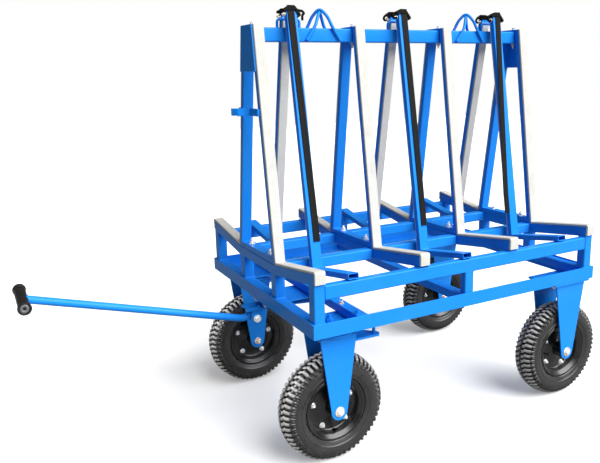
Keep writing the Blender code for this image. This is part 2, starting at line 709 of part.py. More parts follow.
def make_tow_mount():
    front, back = -HALF_L + ANGLE_T, -CROSS_X + CROSS_W / 2
    outline = box_outline(front, back, -MOUNT_W / 2, MOUNT_W / 2)
    mount = prism_z("tow_mount", outline, PLATE_BOTTOM, PLATE_BOTTOM + PLATE_T)
    weld(mount, king_bolt("tow_king", STEER_X, PLATE_BOTTOM, SPACER_R, STEER_TOP + GAP, STEER_BOTTOM, 0.0))


def make_steering_plate():
    prong_out = PRONG_GAP + PRONG_W
    slot_end = STEER_X - CLEVIS_REACH + EAR_R + 0.004
    tip = STEER_X - PRONG_REACH
    rear = STEER_X + LEVER_X
    half = [(tip, PRONG_GAP), (tip, prong_out), (slot_end, prong_out), (STEER_X, 1.6 * KING_NUT_R + 0.008)]
    half += arc(rear, LEVER_Y, LEVER_END_R, 90, 0, 4) + [(rear + LEVER_END_R, 0.0)]
    outline = [(slot_end, PRONG_GAP)] + half + [(a, -b) for a, b in reversed(half[:-1])] + [(slot_end, -PRONG_GAP)]
    plate = prism_z("steering_plate", outline, STEER_BOTTOM, STEER_TOP)
    added = []
    for label, side in SIDES:
        ear_outline = [(CLEVIS_X + EAR_R, STEER_BOTTOM + WELD)] + arc(CLEVIS_X, CLEVIS_Z, EAR_R, 0, -180, 8) + [
            (CLEVIS_X - EAR_R, STEER_BOTTOM + WELD)]
        start = PRONG_GAP + 0.001
        added.append(prism_y(f"clevis_ear_{label}", ear_outline, side * start, side * (start + EAR_T)))
        added.append(turned_solid(f"steer_pin_{label}",
                                  [(LEVER_PIN_R, STEER_TOP - WELD), (LEVER_PIN_R, ROD_PIN_TOP)],
                                  (rear, side * LEVER_Y, 0.0), "z", 12))
    weld(plate, *added)
    king_hole = turned_solid("steer_king_hole", [(KING_R + RUN, STEER_BOTTOM - WELD), (KING_R + RUN, STEER_TOP + WELD)],
                             (STEER_X, 0.0, 0.0), "z")
    reach = PRONG_GAP + EAR_T + PRONG_W
    pin_hole = turned_solid("clevis_hole", [(CLEVIS_PIN_R + GAP, -reach), (CLEVIS_PIN_R + GAP, reach)],
                            (CLEVIS_X, 0.0, CLEVIS_Z), "y")
    cut(plate, king_hole, pin_hole)
    face = PRONG_GAP + 0.001 + EAR_T + GAP
    head = face + CLEVIS_HEAD_T
    profile = [(CLEVIS_HEAD_R, -head), (CLEVIS_HEAD_R, -face), (CLEVIS_PIN_R, -face), (CLEVIS_PIN_R, face),
               (0.8 * CLEVIS_HEAD_R, face), (0.8 * CLEVIS_HEAD_R, head)]
    pin = turned_solid("clevis_pin", profile, (CLEVIS_X, 0.0, CLEVIS_Z), "y", material=ZINC)
    pivot("steering", (STEER_X, 0.0, STEER_TOP), [plate, pin])


def make_tie_rod(label, side):
    start = Vector((STEER_X + LEVER_X, side * LEVER_Y))
    end = Vector((WHEEL_X_FRONT + LEVER_X, side * (TRACK_FRONT / 2 + LEVER_Y)))
    heading = atan2(end.y - start.y, end.x - start.x) * 180 / pi
    r = ROD_W / 2
    outline = arc(end.x, end.y, r, heading - 90, heading + 90, 6) + arc(start.x, start.y, r, heading + 90,
                                                                      heading + 270, 6)
    rod = prism_z(f"tie_rod_{label}", outline, ROD_Z, ROD_Z + ROD_T)
    holes = [turned_solid(f"tie_hole_{label}_{n}", [(LEVER_PIN_R + RUN, ROD_Z - WELD),
                                                    (LEVER_PIN_R + RUN, ROD_Z + ROD_T + WELD)],
                          (p.x, p.y, 0.0), "z", 12) for n, p in (("inner", start), ("outer", end))]
    cut(rod, *holes)
    pivot(f"tie_rod_{label}_turn", (start.x, start.y, ROD_Z), [rod])


# Drawbar: eye on the clevis pin, bent tube, T tube and the ribbed grip on it

def make_drawbar():
    clevis = Vector((CLEVIS_X, 0.0, CLEVIS_Z))
    along = Vector((-cos(DRAWBAR_RISE), 0.0, sin(DRAWBAR_RISE)))
    below = Vector((-sin(DRAWBAR_RISE), 0.0, -cos(DRAWBAR_RISE)))
    handle = clevis + DRAWBAR_REACH * along + DRAWBAR_OFFSET * below

    def beside(run, drop):
        return clevis + run * along + drop * below

    bend = [beside(0.0135, -0.0215), beside(0.0185, -0.0150), beside(0.0255, -0.0055), beside(0.0345, 0.0035),
            beside(0.0460, 0.0095), beside(0.0620, DRAWBAR_OFFSET), beside(0.0850, DRAWBAR_OFFSET)]
    bar = swept_rod("drawbar", bend + [handle], DRAWBAR_R, 12)
    boss = turned_solid("drawbar_boss", [(EYE_BOSS_R, -EYE_BOSS_W / 2), (EYE_BOSS_R, EYE_BOSS_W / 2)], clevis, "y")
    cross = turned_solid("drawbar_cross", [(DRAWBAR_R, -HANDLE_W / 2), (DRAWBAR_R, HANDLE_W / 2)], handle, "y", 16)
    weld(bar, boss, cross)
    cut(bar, turned_solid("drawbar_eye", [(CLEVIS_PIN_R + RUN, -EYE_BOSS_W), (CLEVIS_PIN_R + RUN, EYE_BOSS_W)],
                          clevis, "y"))
    end = HANDLE_W / 2
    inner = DRAWBAR_R + GAP
    flange = end - GRIP_FLANGE_T
    side = [(inner, end), (GRIP_FLANGE_R, end), (GRIP_FLANGE_R, flange), (GRIP_R, flange)]
    pitch = (flange - 2 * DRAWBAR_R) / GRIP_RIBS
    for i in range(GRIP_RIBS):
        y = flange - (i + 0.5) * pitch
        side += [(GRIP_R - GRIP_RIB, y), (GRIP_R, y - pitch / 2)]
    profile = side + [(r, -h) for r, h in reversed(side)]
    grip = turned("handle_grip", profile, handle, "y", 16, GRIP_RUBBER)
    mouth = swept_rod("grip_mouth", [handle, handle - 3 * GRIP_FLANGE_R * along], DRAWBAR_R + RUN, 16)
    cut(grip, mouth)
    pivot("drawbar_lift", clevis, [bar, grip])


def make_drawbar_clip():
    """A tie across the front A-frame's legs with two sprung prongs that take the raised drawbar."""
    back = -TOP_HALF_L - GAP
    slot = DRAWBAR_R + 0.001
    out = slot + CLIP_PRONG_T
    tie = leg_face(CLIP_Z) - CLIP_IN
    half = [(0.0, tie), (CLIP_T, tie), (CLIP_T, out), (CLIP_REACH, out),
            (CLIP_REACH + CLIP_FLARE, out + CLIP_FLARE), (CLIP_REACH + CLIP_FLARE, out + CLIP_FLARE - CLIP_PRONG_T),
            (CLIP_REACH, slot), (CLIP_T, slot)]
    outline = [(back - d, y) for d, y in half] + [(back - d, -y) for d, y in reversed(half)]
    prism_z("drawbar_clip", outline, CLIP_Z - CLIP_H / 2, CLIP_Z + CLIP_H / 2)


make_lower_frame()
make_ribs()
make_side_rails()
make_a_frames()
make_slab_rubbers()
make_top_beam()
make_lifting_eyes()
make_securing_bars()
make_tow_mount()
make_steering_plate()
make_drawbar()
make_drawbar_clip()
for name, sign in SIDES:
    make_swivel_base(name, sign)
    make_front_fork(name, sign)
    make_tie_rod(name, sign)
    make_rear_fork(name, sign)

for made in bpy.data.objects:
    if made.type == "MESH":
        made.data.shade_smooth()
        made.data.set_sharp_from_angle(angle=radians(35))
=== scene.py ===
"""Looks of the slab transport frame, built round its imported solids.

Metres, +Z up, in the frame of the solids: +X away from the drawbar, -Y the near long side. Every piece
rides on the body that carries it, so it follows the steering, the drawbar, the wheels and the securing bars.
"""

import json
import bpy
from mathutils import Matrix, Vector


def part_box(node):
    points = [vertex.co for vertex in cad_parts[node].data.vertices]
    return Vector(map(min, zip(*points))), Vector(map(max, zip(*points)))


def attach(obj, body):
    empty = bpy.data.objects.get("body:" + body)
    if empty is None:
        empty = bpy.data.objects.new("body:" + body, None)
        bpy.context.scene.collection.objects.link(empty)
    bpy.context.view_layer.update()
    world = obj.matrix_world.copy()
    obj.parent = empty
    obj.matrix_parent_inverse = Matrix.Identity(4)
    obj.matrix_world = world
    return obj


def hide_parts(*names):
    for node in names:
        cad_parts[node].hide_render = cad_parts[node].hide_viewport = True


bl_info = {
    "name": "Slab transport frame finish",
    "version": (1, 0, 0),
    "blender": (4, 5, 0),
    "location": "View3D > Sidebar > Slab frame",
    "description": "Dresses a wheeled A-frame slab trolley: enamel, rubber, tyres, bolts and welds",
    "category": "Object",
}

from math import atan2, cos, hypot, pi, radians, sin, sqrt, tan

import bmesh
import bpy
from bpy.props import FloatProperty, FloatVectorProperty, IntProperty, PointerProperty
from mathutils import Matrix, Vector

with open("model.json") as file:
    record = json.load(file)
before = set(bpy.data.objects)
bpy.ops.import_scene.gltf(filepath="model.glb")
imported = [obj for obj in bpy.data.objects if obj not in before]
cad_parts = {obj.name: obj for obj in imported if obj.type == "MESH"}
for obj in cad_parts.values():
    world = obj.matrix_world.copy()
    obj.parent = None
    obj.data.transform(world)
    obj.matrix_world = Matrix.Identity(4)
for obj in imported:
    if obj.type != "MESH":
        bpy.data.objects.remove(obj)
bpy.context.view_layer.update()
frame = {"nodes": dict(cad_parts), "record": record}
NODES = frame["nodes"]
NODE_BODY = {node: body for body, nodes in frame["record"]["behaviour"]["bodies"].items() for node in nodes}
SIDES = (("near", -1), ("far", 1))
ENDS = ("front", "rear")
WHEELS = [f"{end}_{side}" for end in ENDS for side, _ in SIDES]
BARS = [f"{side}_{bay}" for side, _ in SIDES for bay in (1, 2, 3)]


def middle(node):
    low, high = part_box(node)
    return (low + high) / 2


# Sizes shared by several pieces, and places read from the solids

CLEAR = 0.0003
RUBBER = 0.008
PLATE = 0.008
ANGLE = 0.006
FOOT_TUBE = 0.020
HALF_TUBE = 0.020
HUB_R = 0.0005
M8_FLATS = 0.013
ARM_DEGREES = 8.2
ARM_RISE = radians(ARM_DEGREES)
BAR_LEAN = radians(10.0)
HALF_BASE = 0.170
TOP_HALF = 0.0484
RAIL_WIDTH = 0.030

RIB_X = [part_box("a_frame_1")[1].x - HALF_TUBE, middle("a_frame_2").x, middle("a_frame_3").x,
         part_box("a_frame_4")[0].x + HALF_TUBE]
MID_X = (RIB_X[0] + RIB_X[3]) / 2
A_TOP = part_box("a_frame_2")[1].z
FOOT_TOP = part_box("a_frame_2")[0].z + FOOT_TUBE
RIB_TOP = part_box("a_frame_2")[0].z - CLEAR
LEG_LEAN = atan2(HALF_BASE - TOP_HALF, A_TOP - RIB_TOP)
FLANGE_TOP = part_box("lower_frame")[0].z + ANGLE
BEAM_HALF = (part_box("top_beam")[1].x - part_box("top_beam")[0].x) / 2
BEAM_TOP = A_TOP - (PLATE + CLEAR)
BEAM_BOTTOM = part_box("top_beam")[0].z
ARM_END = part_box("rib_1")[1].y
RAIL_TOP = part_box("side_rail_near")[1].z
RAIL_INNER = ARM_END - RAIL_WIDTH
BAR_HALF = 0.010
FOOT_START = HALF_BASE + 0.001 + BAR_HALF * sin(BAR_LEAN)
FOOT_Z = RAIL_TOP + CLEAR + (FOOT_START - RAIL_INNER) * tan(BAR_LEAN) + BAR_HALF / cos(BAR_LEAN)


# Colour and node helpers

def linear(code):
    """Linear red, green and blue from an sRGB hex code."""
    parts = [int(code[i:i + 2], 16) / 255 for i in (0, 2, 4)]
    return tuple(c / 12.92 if c <= 0.04045 else ((c + 0.055) / 1.055) ** 2.4 for c in parts)


def per_mm(size):
    """Texture scale whose features are about this many millimetres."""
    return 1000.0 / size


def add_node(tree, kind, settings=None, links=None):
    """A node with its settings (socket name or number, else attribute) and its incoming links."""
    node = tree.nodes.new(kind)
    for key, value in (settings or {}).items():
        if isinstance(key, int) or key in node.inputs:
            node.inputs[key].default_value = value
        else:
            setattr(node, key, value)
    for key, source in (links or {}).items():
        tree.links.new(source, node.inputs[key])
    return node


def cloud(tree, place, size_mm, detail, rough=0.5):
    """Noise with patches of about a size."""
    settings = {"Scale": per_mm(size_mm), "Detail": detail, "Roughness": rough}
    return add_node(tree, "ShaderNodeTexNoise", settings, {"Vector": place}).outputs["Fac"]


def ranged(tree, value, low, high, to_low=0.0, to_high=1.0):
    """A value carried from one range to another."""
    settings = {"From Min": low, "From Max": high, "To Min": to_low, "To Max": to_high}
    return add_node(tree, "ShaderNodeMapRange", settings, {"Value": value}).outputs["Result"]


def blended(tree, factor, first, second):
    """Two colours, each set or linked, mixed by a factor."""
    settings, links = {"data_type": "RGBA"}, {"Factor": factor}
    for key, colour in (("A", first), ("B", second)):
        if isinstance(colour, bpy.types.NodeSocket):
            links[key] = colour
        else:
            settings[key] = (*colour, 1.0)
    return add_node(tree, "ShaderNodeMix", settings, links).outputs["Result"]


def bumped(tree, height, strength, depth):
    settings = {"Strength": strength, "Distance": depth}
    return add_node(tree, "ShaderNodeBump", settings, {"Height": height}).outputs["Normal"]


def camera_ray(tree):
    return add_node(tree, "ShaderNodeLightPath").outputs["Is Camera Ray"]


def start_material(name):
    material = bpy.data.materials.new(name)
    material.use_nodes = True
    tree = material.node_tree
    tree.nodes.clear()
    place = add_node(tree, "ShaderNodeTexCoord").outputs["Object"]
    return material, tree, place


def close_material(material, tree, settings, links):
    shader = add_node(tree, "ShaderNodeBsdfPrincipled", settings, links)
    add_node(tree, "ShaderNodeOutputMaterial", links={"Surface": shader.outputs["BSDF"]})
    return material


# Materials

def blue_powder_coat(look):
    """Polyester powder coat on welded steel: an even gloss film with fine orange peel and a little dust."""
    material, tree, place = start_material("blue_powder_coat")
    dust = ranged(tree, cloud(tree, place, 160, 5.0, 0.6), 0.42, 0.72, 0.0, 0.35)
    scuff = cloud(tree, place, 14, 6.0, 0.7)
    peel = cloud(tree, place, 2.5, 2.0)
    return close_material(material, tree, {"IOR": 1.5, "Specular IOR Level": 0.14}, {
        "Base Color": blended(tree, dust, look.blue, look.blue_dusty),
        "Roughness": ranged(tree, scuff, 0.35, 0.75, 0.26, 0.42),
        "Normal": bumped(tree, peel, 0.06, 0.0004)})


def white_rubber(look):
    """Extruded white EPDM strip: matt, chalky, a little grey where slabs and gloves have rubbed it."""
    material, tree, place = start_material("white_epdm_rubber")
    soil = ranged(tree, cloud(tree, place, 60, 7.0, 0.65), 0.48, 0.78, 0.0, 0.7)
    grit = cloud(tree, place, 1.6, 3.0)
    return close_material(material, tree, {"IOR": 1.5, "Roughness": 0.78, "Specular IOR Level": 0.35}, {
        "Base Color": blended(tree, soil, look.rubber_white, look.rubber_soiled),
        "Normal": bumped(tree, grit, 0.25, 0.0003)})


def black_rubber(name, colour, grey, rough, patch_mm, gloss):
    """Carbon-black rubber: dark and half matt, with a pale bloom in patches."""
    material, tree, place = start_material(name)
    bloom = cloud(tree, place, patch_mm, 6.0, 0.6)
    grain = cloud(tree, place, 1.4, 2.0)
    return close_material(material, tree, {"IOR": 1.52, "Specular IOR Level": gloss}, {
        "Base Color": blended(tree, ranged(tree, bloom, 0.40, 0.75, 0.0, 0.8), colour, grey),
        "Roughness": ranged(tree, bloom, 0.3, 0.7, rough - 0.08, rough + 0.10),
        "Normal": bumped(tree, grain, 0.2, 0.0003)})


def tyre_tread_rubber(look):
    """Carbon-black tyre rubber: half gloss; the lug tops are painted pale, partly scuff and partly a painted
    highlight, and the groove floors are painted dark as painted shade.
    """
    material, tree, place = start_material("carbon_black_tyre_rubber")
    bloom = cloud(tree, place, 40, 6.0, 0.6)
    grain = cloud(tree, place, 1.4, 2.0)
    height = add_node(tree, "ShaderNodeAttribute", {"attribute_name": "tread_height"}).outputs["Fac"]
    # Lug tops: pale in patches, partly scuff and partly a painted highlight.
    scuff = add_node(tree, "ShaderNodeMath", {"operation": "MULTIPLY"},
                     {0: ranged(tree, height, 0.5, 1.0), 1: ranged(tree, bloom, 0.25, 0.75, 0.55)})
    side = blended(tree, bloom, look.tyre_black, look.tyre_grey)
    deep = blended(tree, ranged(tree, height, 0.0, 0.5), look.tyre_groove_shade, side)
    # Groove floors: painted shade, darker than the side rubber.
    return close_material(material, tree, {"IOR": 1.52}, {
        "Base Color": blended(tree, scuff.outputs["Value"], deep, look.tyre_scuff_and_highlight),
        "Roughness": ranged(tree, bloom, 0.3, 0.7, 0.26, 0.40),
        "Normal": bumped(tree, grain, 0.2, 0.0003)})


def black_rim_enamel(look):
    """Stoved black enamel on a pressed steel rim: deep gloss with faint dust in the dish."""
    material, tree, place = start_material("black_stoving_enamel")
    dust = cloud(tree, place, 45, 6.0, 0.65)
    return close_material(material, tree, {"IOR": 1.5, "Coat Weight": 0.2, "Coat Roughness": 0.18}, {
        "Base Color": blended(tree, ranged(tree, dust, 0.5, 0.8, 0.0, 0.5), look.rim_black, look.rim_dust),
        "Roughness": ranged(tree, dust, 0.4, 0.8, 0.26, 0.44)})


def zinc_plate(name, colour, tarnish):
    """Electroplated zinc: bright metal, clouded by its passivation film."""
    material, tree, place = start_material(name)
    film = cloud(tree, place, 9, 4.0)
    return close_material(material, tree, {"Metallic": 0.45}, {
        "Base Color": blended(tree, film, colour, tarnish),
        "Roughness": ranged(tree, film, 0.3, 0.7, 0.22, 0.42)})


def studio_paint(look):
    """Matt white floor paint; its bounce is held down so that the sides away from the key stay deep."""
    material, tree, place = start_material("studio_floor_paint")
    return close_material(material, tree, {"Roughness": 0.9}, {
        "Base Color": blended(tree, camera_ray(tree), look.floor_bounce, look.floor),
        "Normal": bumped(tree, cloud(tree, place, 30, 3.0), 0.03, 0.0005)})


def studio_air():
    """Even white air round the floor: bright to look at, dim as a light."""
    world = bpy.data.worlds.new("studio_air")
    world.use_nodes = True
    tree = world.node_tree
    tree.nodes.clear()
    white = (1.0, 1.0, 1.0, 1.0)
    dim, bright = [add_node(tree, "ShaderNodeBackground", {"Color": white, "Strength": strength})
                   for strength in (0.10, 1.0)]
    both = add_node(tree, "ShaderNodeMixShader", links={"Fac": camera_ray(tree), 1: dim.outputs["Background"],
                                                        2: bright.outputs["Background"]})
    add_node(tree, "ShaderNodeOutputWorld", links={"Surface": both.outputs["Shader"]})
    return world


def make_materials(look):
    return {
        "blue": blue_powder_coat(look),
        "white": white_rubber(look),
        "strip": black_rubber("black_nitrile_strip", look.strip_black, look.strip_grey, 0.62, 30, 0.12),
        "cap": black_rubber("moulded_black_cap", look.cap_black, look.strip_black, 0.50, 20, 0.06),
        "tyre": tyre_tread_rubber(look),
        "grip": black_rubber("moulded_pvc_grip", look.strip_black, look.strip_grey, 0.34, 25, 0.5),
        "rim": black_rim_enamel(look),
        "zinc": zinc_plate("bright_zinc_plate", look.zinc, look.zinc_cloud),
        "steel": zinc_plate("cut_tube_steel", look.tube_steel, look.strip_grey),
        "yellow": zinc_plate("yellow_passivated_zinc", look.yellow_zinc, look.zinc),
    }


FINISH = {}


# Mesh helpers: every shape is a list of points and a list of faces

def skin(loops, ring=False):
    """Quads between loops of equal count; faces over both ends unless the loops close on themselves."""
    count, last = len(loops[0]), len(loops) - 1
    points = [Vector(p) for loop in loops for p in loop]
    pairs = list(zip(range(last), range(1, last + 1))) + ([(last, 0)] if ring else [])
    faces = [(a * count + i, a * count + (i + 1) % count, b * count + (i + 1) % count, b * count + i)
             for a, b in pairs for i in range(count)]
    if not ring:
        faces += [tuple(reversed(range(count))), tuple(range(last * count, last * count + count))]
    return points, faces


def moved(shape, matrix):
    points, faces = shape
    return [matrix @ p for p in points], faces


def arc(a, b, r, start, stop, steps):
    turns = [radians(start + (stop - start) * i / steps) for i in range(steps + 1)]
    return [(a + r * cos(t), b + r * sin(t)) for t in turns]


def rounded_rectangle(a0, a1, b0, b1, r, steps):
    corners = ((a1 - r, b1 - r, 0), (a0 + r, b1 - r, 90), (a0 + r, b0 + r, 180), (a1 - r, b0 + r, 270))
    return [p for a, b, start in corners for p in arc(a, b, r, start, start + 90, steps)]


def full_turn(steps):
    return [2 * pi * i / steps for i in range(steps)]


def turned(profile, axis, steps):
    """(r, h) points from axis to axis, or a closed ring of them, turned about y or z through the origin."""
    def spot(r, h, t):
        return Vector((r * cos(t), h, r * sin(t)) if axis == "y" else (r * cos(t), r * sin(t), h))
    return [[spot(r, h, t) for t in full_turn(steps)] for r, h in profile]


def twin_rings(profile, steps, centre):
    """A closed (r, h) profile turned about Y, on both sides of a centre."""
    return [moved(skin(turned([(r, side * h) for r, h in profile], "y", steps), ring=True),
                  Matrix.Translation(centre)) for side in (-1, 1)]


def swept(points, radius, sides):
    """A round rod along points; radius may be one number or one for each point."""
    points = [Vector(p) for p in points]
    loops, across = [], None
    for i, p in enumerate(points):
        ahead = (points[min(i + 1, len(points) - 1)] - points[max(i - 1, 0)]).normalized()
        across = ahead.orthogonal() if across is None else across - ahead * across.dot(ahead)
        across.normalize()
        other = ahead.cross(across)
        r = radius[i] if isinstance(radius, list) else radius
        loops.append([p + r * (cos(t) * across + sin(t) * other) for t in full_turn(sides)])
    return skin(loops)


def smooth_path(points, steps):
    """A rounded line through the points."""
    points = [Vector(p) for p in points]
    padded = [2 * points[0] - points[1]] + points + [2 * points[-1] - points[-2]]
    line = []
    for i in range(1, len(padded) - 2):
        p0, p1, p2, p3 = padded[i - 1:i + 3]
        for k in range(steps):
            t = k / steps
            line.append(0.5 * (2 * p1 + (p2 - p0) * t + (2 * p0 - 5 * p1 + 4 * p2 - p3) * t * t
                               + (3 * p1 - p0 - 3 * p2 + p3) * t * t * t))
    return line + [points[-1]]


def straight(start, end, steps):
    start, end = Vector(start), Vector(end)
    return [start.lerp(end, i / steps) for i in range(steps + 1)]


def axes(at, up, turn=0.0):
    """Places a shape built about +Z at a point, its Z along up."""
    tilt = Vector((0, 0, 1)).rotation_difference(Vector(up)).to_matrix().to_4x4()
    return Matrix.Translation(at) @ tilt @ Matrix.Rotation(turn, 4, "Z")


def hexagon(r, h):
    return [(r * cos(t), r * sin(t), h) for t in full_turn(6)]


def bolt_head(at, up, flats, turn=0.0):
    """A washer and a hexagon head of the given width across flats, standing on a face."""
    r, thick = flats / sqrt(3), 0.002
    rim = 1.45 * r
    disc = turned([(HUB_R, 0.0), (rim, 0.0), (rim, 0.0016), (rim - 0.0006, thick), (HUB_R, thick)], "z", 28)
    head = [hexagon(r, thick), hexagon(r, thick + 0.55 * flats), hexagon(0.88 * r, thick + 0.64 * flats)]
    place = axes(at, up, turn)
    return [moved(skin(disc), place), moved(skin(head), place)]


def nut_and_thread(at, up, flats, turn, stub):
    """A nut on a washer with the bolt's end standing out of it."""
    r, bore, thick, threads = flats / sqrt(3), 0.29 * flats, 0.002, 8
    disc = turned([(HUB_R, 0.0), (1.4 * r, 0.0), (1.4 * r, thick), (HUB_R, thick)], "z", 28)
    top = 0.82 * flats
    end = top + stub
    nut = [hexagon(0.9 * r, thick), hexagon(r, 0.003), hexagon(r, 0.75 * flats), hexagon(0.86 * r, top)]
    thread = [(bore * (1.0 if k % 2 else 0.9), 0.8 * flats + (stub * k) / threads) for k in range(threads)]
    screw = turned([(HUB_R, 0.7 * flats)] + thread + [(0.8 * bore, end), (HUB_R, end)], "z", 20)
    place = axes(at, up, turn)
    return [moved(skin(disc), place), moved(skin(nut), place), moved(skin(screw), place)]


def weld_bead(points, r=0.0032, pitch=0.0045):
    """A run of fillet weld: a rod whose overlapping ripples follow the line."""
    points = [Vector(p) for p in points]
    line = []
    for a, b in zip(points, points[1:]):
        count = max(2, int((b - a).length / (pitch / 3)))
        line += straight(a, b, count)[:-1]
    line.append(points[-1])
    radii, run = [], 0.0
    for i, p in enumerate(line):
        run += (p - line[i - 1]).length if i else 0.0
        taper = 0.6 if i in (0, len(line) - 1) else 1.0
        radii.append(r * (0.86 + 0.16 * abs(sin(pi * run / pitch))) * taper)
    return swept(line, radii, 8)


def piece(name, shapes, finish, body, slot, replaced=(), sharp=32, bevel=0.0, at=None, share=None,
          marks=None):
    """One visible piece from shapes, smooth between its sharp edges, riding on a body."""
    if share:
        mesh = share.data
    else:
        shape = bmesh.new()
        for points, faces in shapes:
            verts = [shape.verts.new(p) for p in points]
            for face in faces:
                shape.faces.new([verts[i] for i in face])
        bmesh.ops.recalc_face_normals(shape, faces=shape.faces)
        mesh = bpy.data.meshes.new(name)
        shape.to_mesh(mesh)
        shape.free()
        mesh.shade_smooth()
        mesh.set_sharp_from_angle(angle=radians(sharp))
        mesh.materials.append(FINISH[finish])
        if marks:
            mesh.attributes.new("tread_height", "FLOAT", "POINT").data.foreach_set("value", marks)
    made = bpy.data.objects.new(name, mesh)
    bpy.context.collection.objects.link(made)
    if at is not None:
        made.matrix_world = at
    if bevel:
        rounding = made.modifiers.new("rounded_edges", "BEVEL")
        rounding.width = bevel
        rounding.segments = 3
        rounding.limit_method = "ANGLE"
        rounding.angle_limit = radians(32)
        weighted = made.modifiers.new("flat_faces", "WEIGHTED_NORMAL")
        weighted.keep_sharp = True
        weighted.weight = 100
    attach(made, body)
    if replaced:
        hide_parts(*replaced)
    return made


def softened(node, finish, slot, bevel):
    """A copy of a solid with rolled or broken edges, which stands for it."""
    shape = bmesh.new()
    shape.from_mesh(NODES[node].data)
    bmesh.ops.remove_doubles(shape, verts=shape.verts, dist=1e-5)
    bmesh.ops.dissolve_limit(shape, angle_limit=radians(1), verts=shape.verts, edges=shape.edges)
    points = [v.co.copy() for v in shape.verts]
    shape.verts.index_update()
    faces = [tuple(v.index for v in f.verts) for f in shape.faces]
    shape.free()
    piece(f"{node}_coated", [(points, faces)], finish, NODE_BODY[node], slot, [node], bevel=bevel)


# What a user would change

def size_of(name, text, value, low, high):
    return FloatProperty(name=name, description=text, default=value, min=low, max=high, subtype="DISTANCE",
                         unit="LENGTH")


def colour_of(name, text, code):
    return FloatVectorProperty(name=name, description=text, subtype="COLOR", size=3, min=0.0, max=1.0,
                               default=linear(code))


class SlabFrameSizes(bpy.types.PropertyGroup):
    tube_radius: size_of("Tube corner", "Rolled corner radius of the square tubes", 0.0045, 0.0005, 0.006)
    plate_edge: size_of("Plate edge", "Broken edge of cut plates", 0.001, 0.0002, 0.003)
    lug_depth: size_of("Lug depth", "Depth of the tyre's tread grooves", 0.009, 0.001, 0.015)
    lugs: IntProperty(name="Lugs", description="Tread lugs on each shoulder", default=56, min=12, max=80)
    rib_depth: size_of("Rubber groove", "Depth of the grooves along the white rubber", 0.0004, 0.0, 0.003)
    strip_width: size_of("Black strip", "Width of the black strip on a securing bar", 0.026, 0.010, 0.040)


class SlabFrameColours(bpy.types.PropertyGroup):
    blue: colour_of("Blue", "Powder coat on the steelwork", "1A84E4")
    blue_dusty: colour_of("Dusty blue", "Powder coat under a film of dust", "2E8AE2")
    rubber_white: colour_of("White rubber", "Facings that slabs rest on", "C5C4BF")
    rubber_soiled: colour_of("Soiled rubber", "Rubbed patches of the facings", "B2B0A8")
    strip_black: colour_of("Black strip", "Rubber strip and grips", "131211")
    strip_grey: colour_of("Worn strip", "Bloom on the black strip", "201F1D")
    cap_black: colour_of("Black cap", "Moulded caps and hooks of the bars", "050505")
    tube_steel: colour_of("Tube steel", "Cut ends of the handle's tube", "A4A9AE")
    tyre_black: colour_of("Tyre", "Tyre rubber", "202020")
    tyre_grey: colour_of("Tyre bloom", "Pale bloom on tyre rubber", "363534")
    # Lug tops: a scuff colour that also serves as a painted highlight.
    tyre_scuff_and_highlight: colour_of("Tyre scuff", "Scuffed tops of the tread lugs", "A9A8A6")
    tyre_groove_shade: colour_of("Tyre groove", "Floors of the tread grooves", "0B0B0B")
    rim_black: colour_of("Rim", "Black enamel of the rims", "19191A")
    # Painted shade on the floors of the tread grooves.
    rim_dust: colour_of("Rim dust", "Dust in the dish of the rims", "3A3836")
    zinc: colour_of("Zinc", "Bright zinc plate", "F2F3F4")
    zinc_cloud: colour_of("Zinc cloud", "Clouded zinc plate", "DADBDB")
    yellow_zinc: colour_of("Yellow zinc", "Yellow passivated nuts", "D2A05A")
    floor: colour_of("Floor", "Studio floor", "E4E4E4")
    floor_bounce: colour_of("Floor bounce", "Light that the studio floor throws back", "828282")


def sizes(context):
    return context.scene.slab_frame_sizes


class SLABFRAME_OT_finishes(bpy.types.Operator):
    """Make the paints, rubbers and metals that the pieces share"""
    bl_idname = "slab_frame.finishes"
    bl_label = "Finishes"

    def execute(self, context):
        FINISH.update(make_materials(context.scene.slab_frame_colours))
        return {"FINISHED"}


# Steelwork that keeps the shape of its solid

class SLABFRAME_OT_steelwork(bpy.types.Operator):
    """Coat the welded chassis: frames, rails, ribs, A-frames, forks and steering, with rolled tube edges"""
    bl_idname = "slab_frame.steelwork"
    bl_label = "Steelwork"

    def execute(self, context):
        tube, plate = sizes(context).tube_radius, sizes(context).plate_edge
        tubes = [f"side_rail_{s}" for s, _ in SIDES] + [f"rib_{i}" for i in (1, 2, 3, 4)]
        frames = [f"a_frame_{i}" for i in (1, 2, 3, 4)]
        plates = ["lower_frame", "drawbar_clip", "tow_mount", "steering_plate"]
        plates += [f"{kind}_{s}" for kind in ("rear_fork", "front_fork", "tie_rod") for s, _ in SIDES]
        plates += [f"securing_bar_{bar}" for bar in BARS]
        for nodes, width in ((tubes, tube), (frames, 0.7 * tube), (plates, plate)):
            for node in nodes:
                softened(node, "blue", "blue_enamel", width)
        for label, _ in SIDES:
            self.swivel_base(f"swivel_base_{label}", plate)
        return {"FINISHED"}

    def swivel_base(self, node, edge):
        """Bolted plate, the turntable's two rings with the gap of their ball race, king bolt and nut."""
        low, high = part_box(node)
        under = high.z - PLATE
        drop, ring, race, bolt = low.z - under, 0.085, 0.081, 0.012
        at = Matrix.Translation(((low.x + high.x) / 2, (low.y + high.y) / 2, under))
        corners = [(low.y, under), (high.y, under), (high.y, high.z), (low.y, high.z)]
        plate = skin([[(x, y, z) for y, z in corners] for x in (low.x, high.x)])
        rings = [(HUB_R, 0.001), (ring, 0.001), (ring, -0.0075), (race, -0.0082), (race, -0.0098),
                 (ring, -0.0105), (ring, -0.018), (bolt, -0.018), (bolt, drop + 0.012), (HUB_R, drop + 0.012)]
        nut = [hexagon(0.0195, drop), hexagon(0.0225, drop + 0.002), hexagon(0.0225, drop + 0.013)]
        shapes = [plate, moved(skin(turned(rings, "z", 72)), at), moved(skin(nut), at)]
        piece(f"{node}_coated", shapes, "blue", NODE_BODY[node], "blue_enamel", [node], bevel=edge)


# Wheels

RIM_WEB = 0.0066


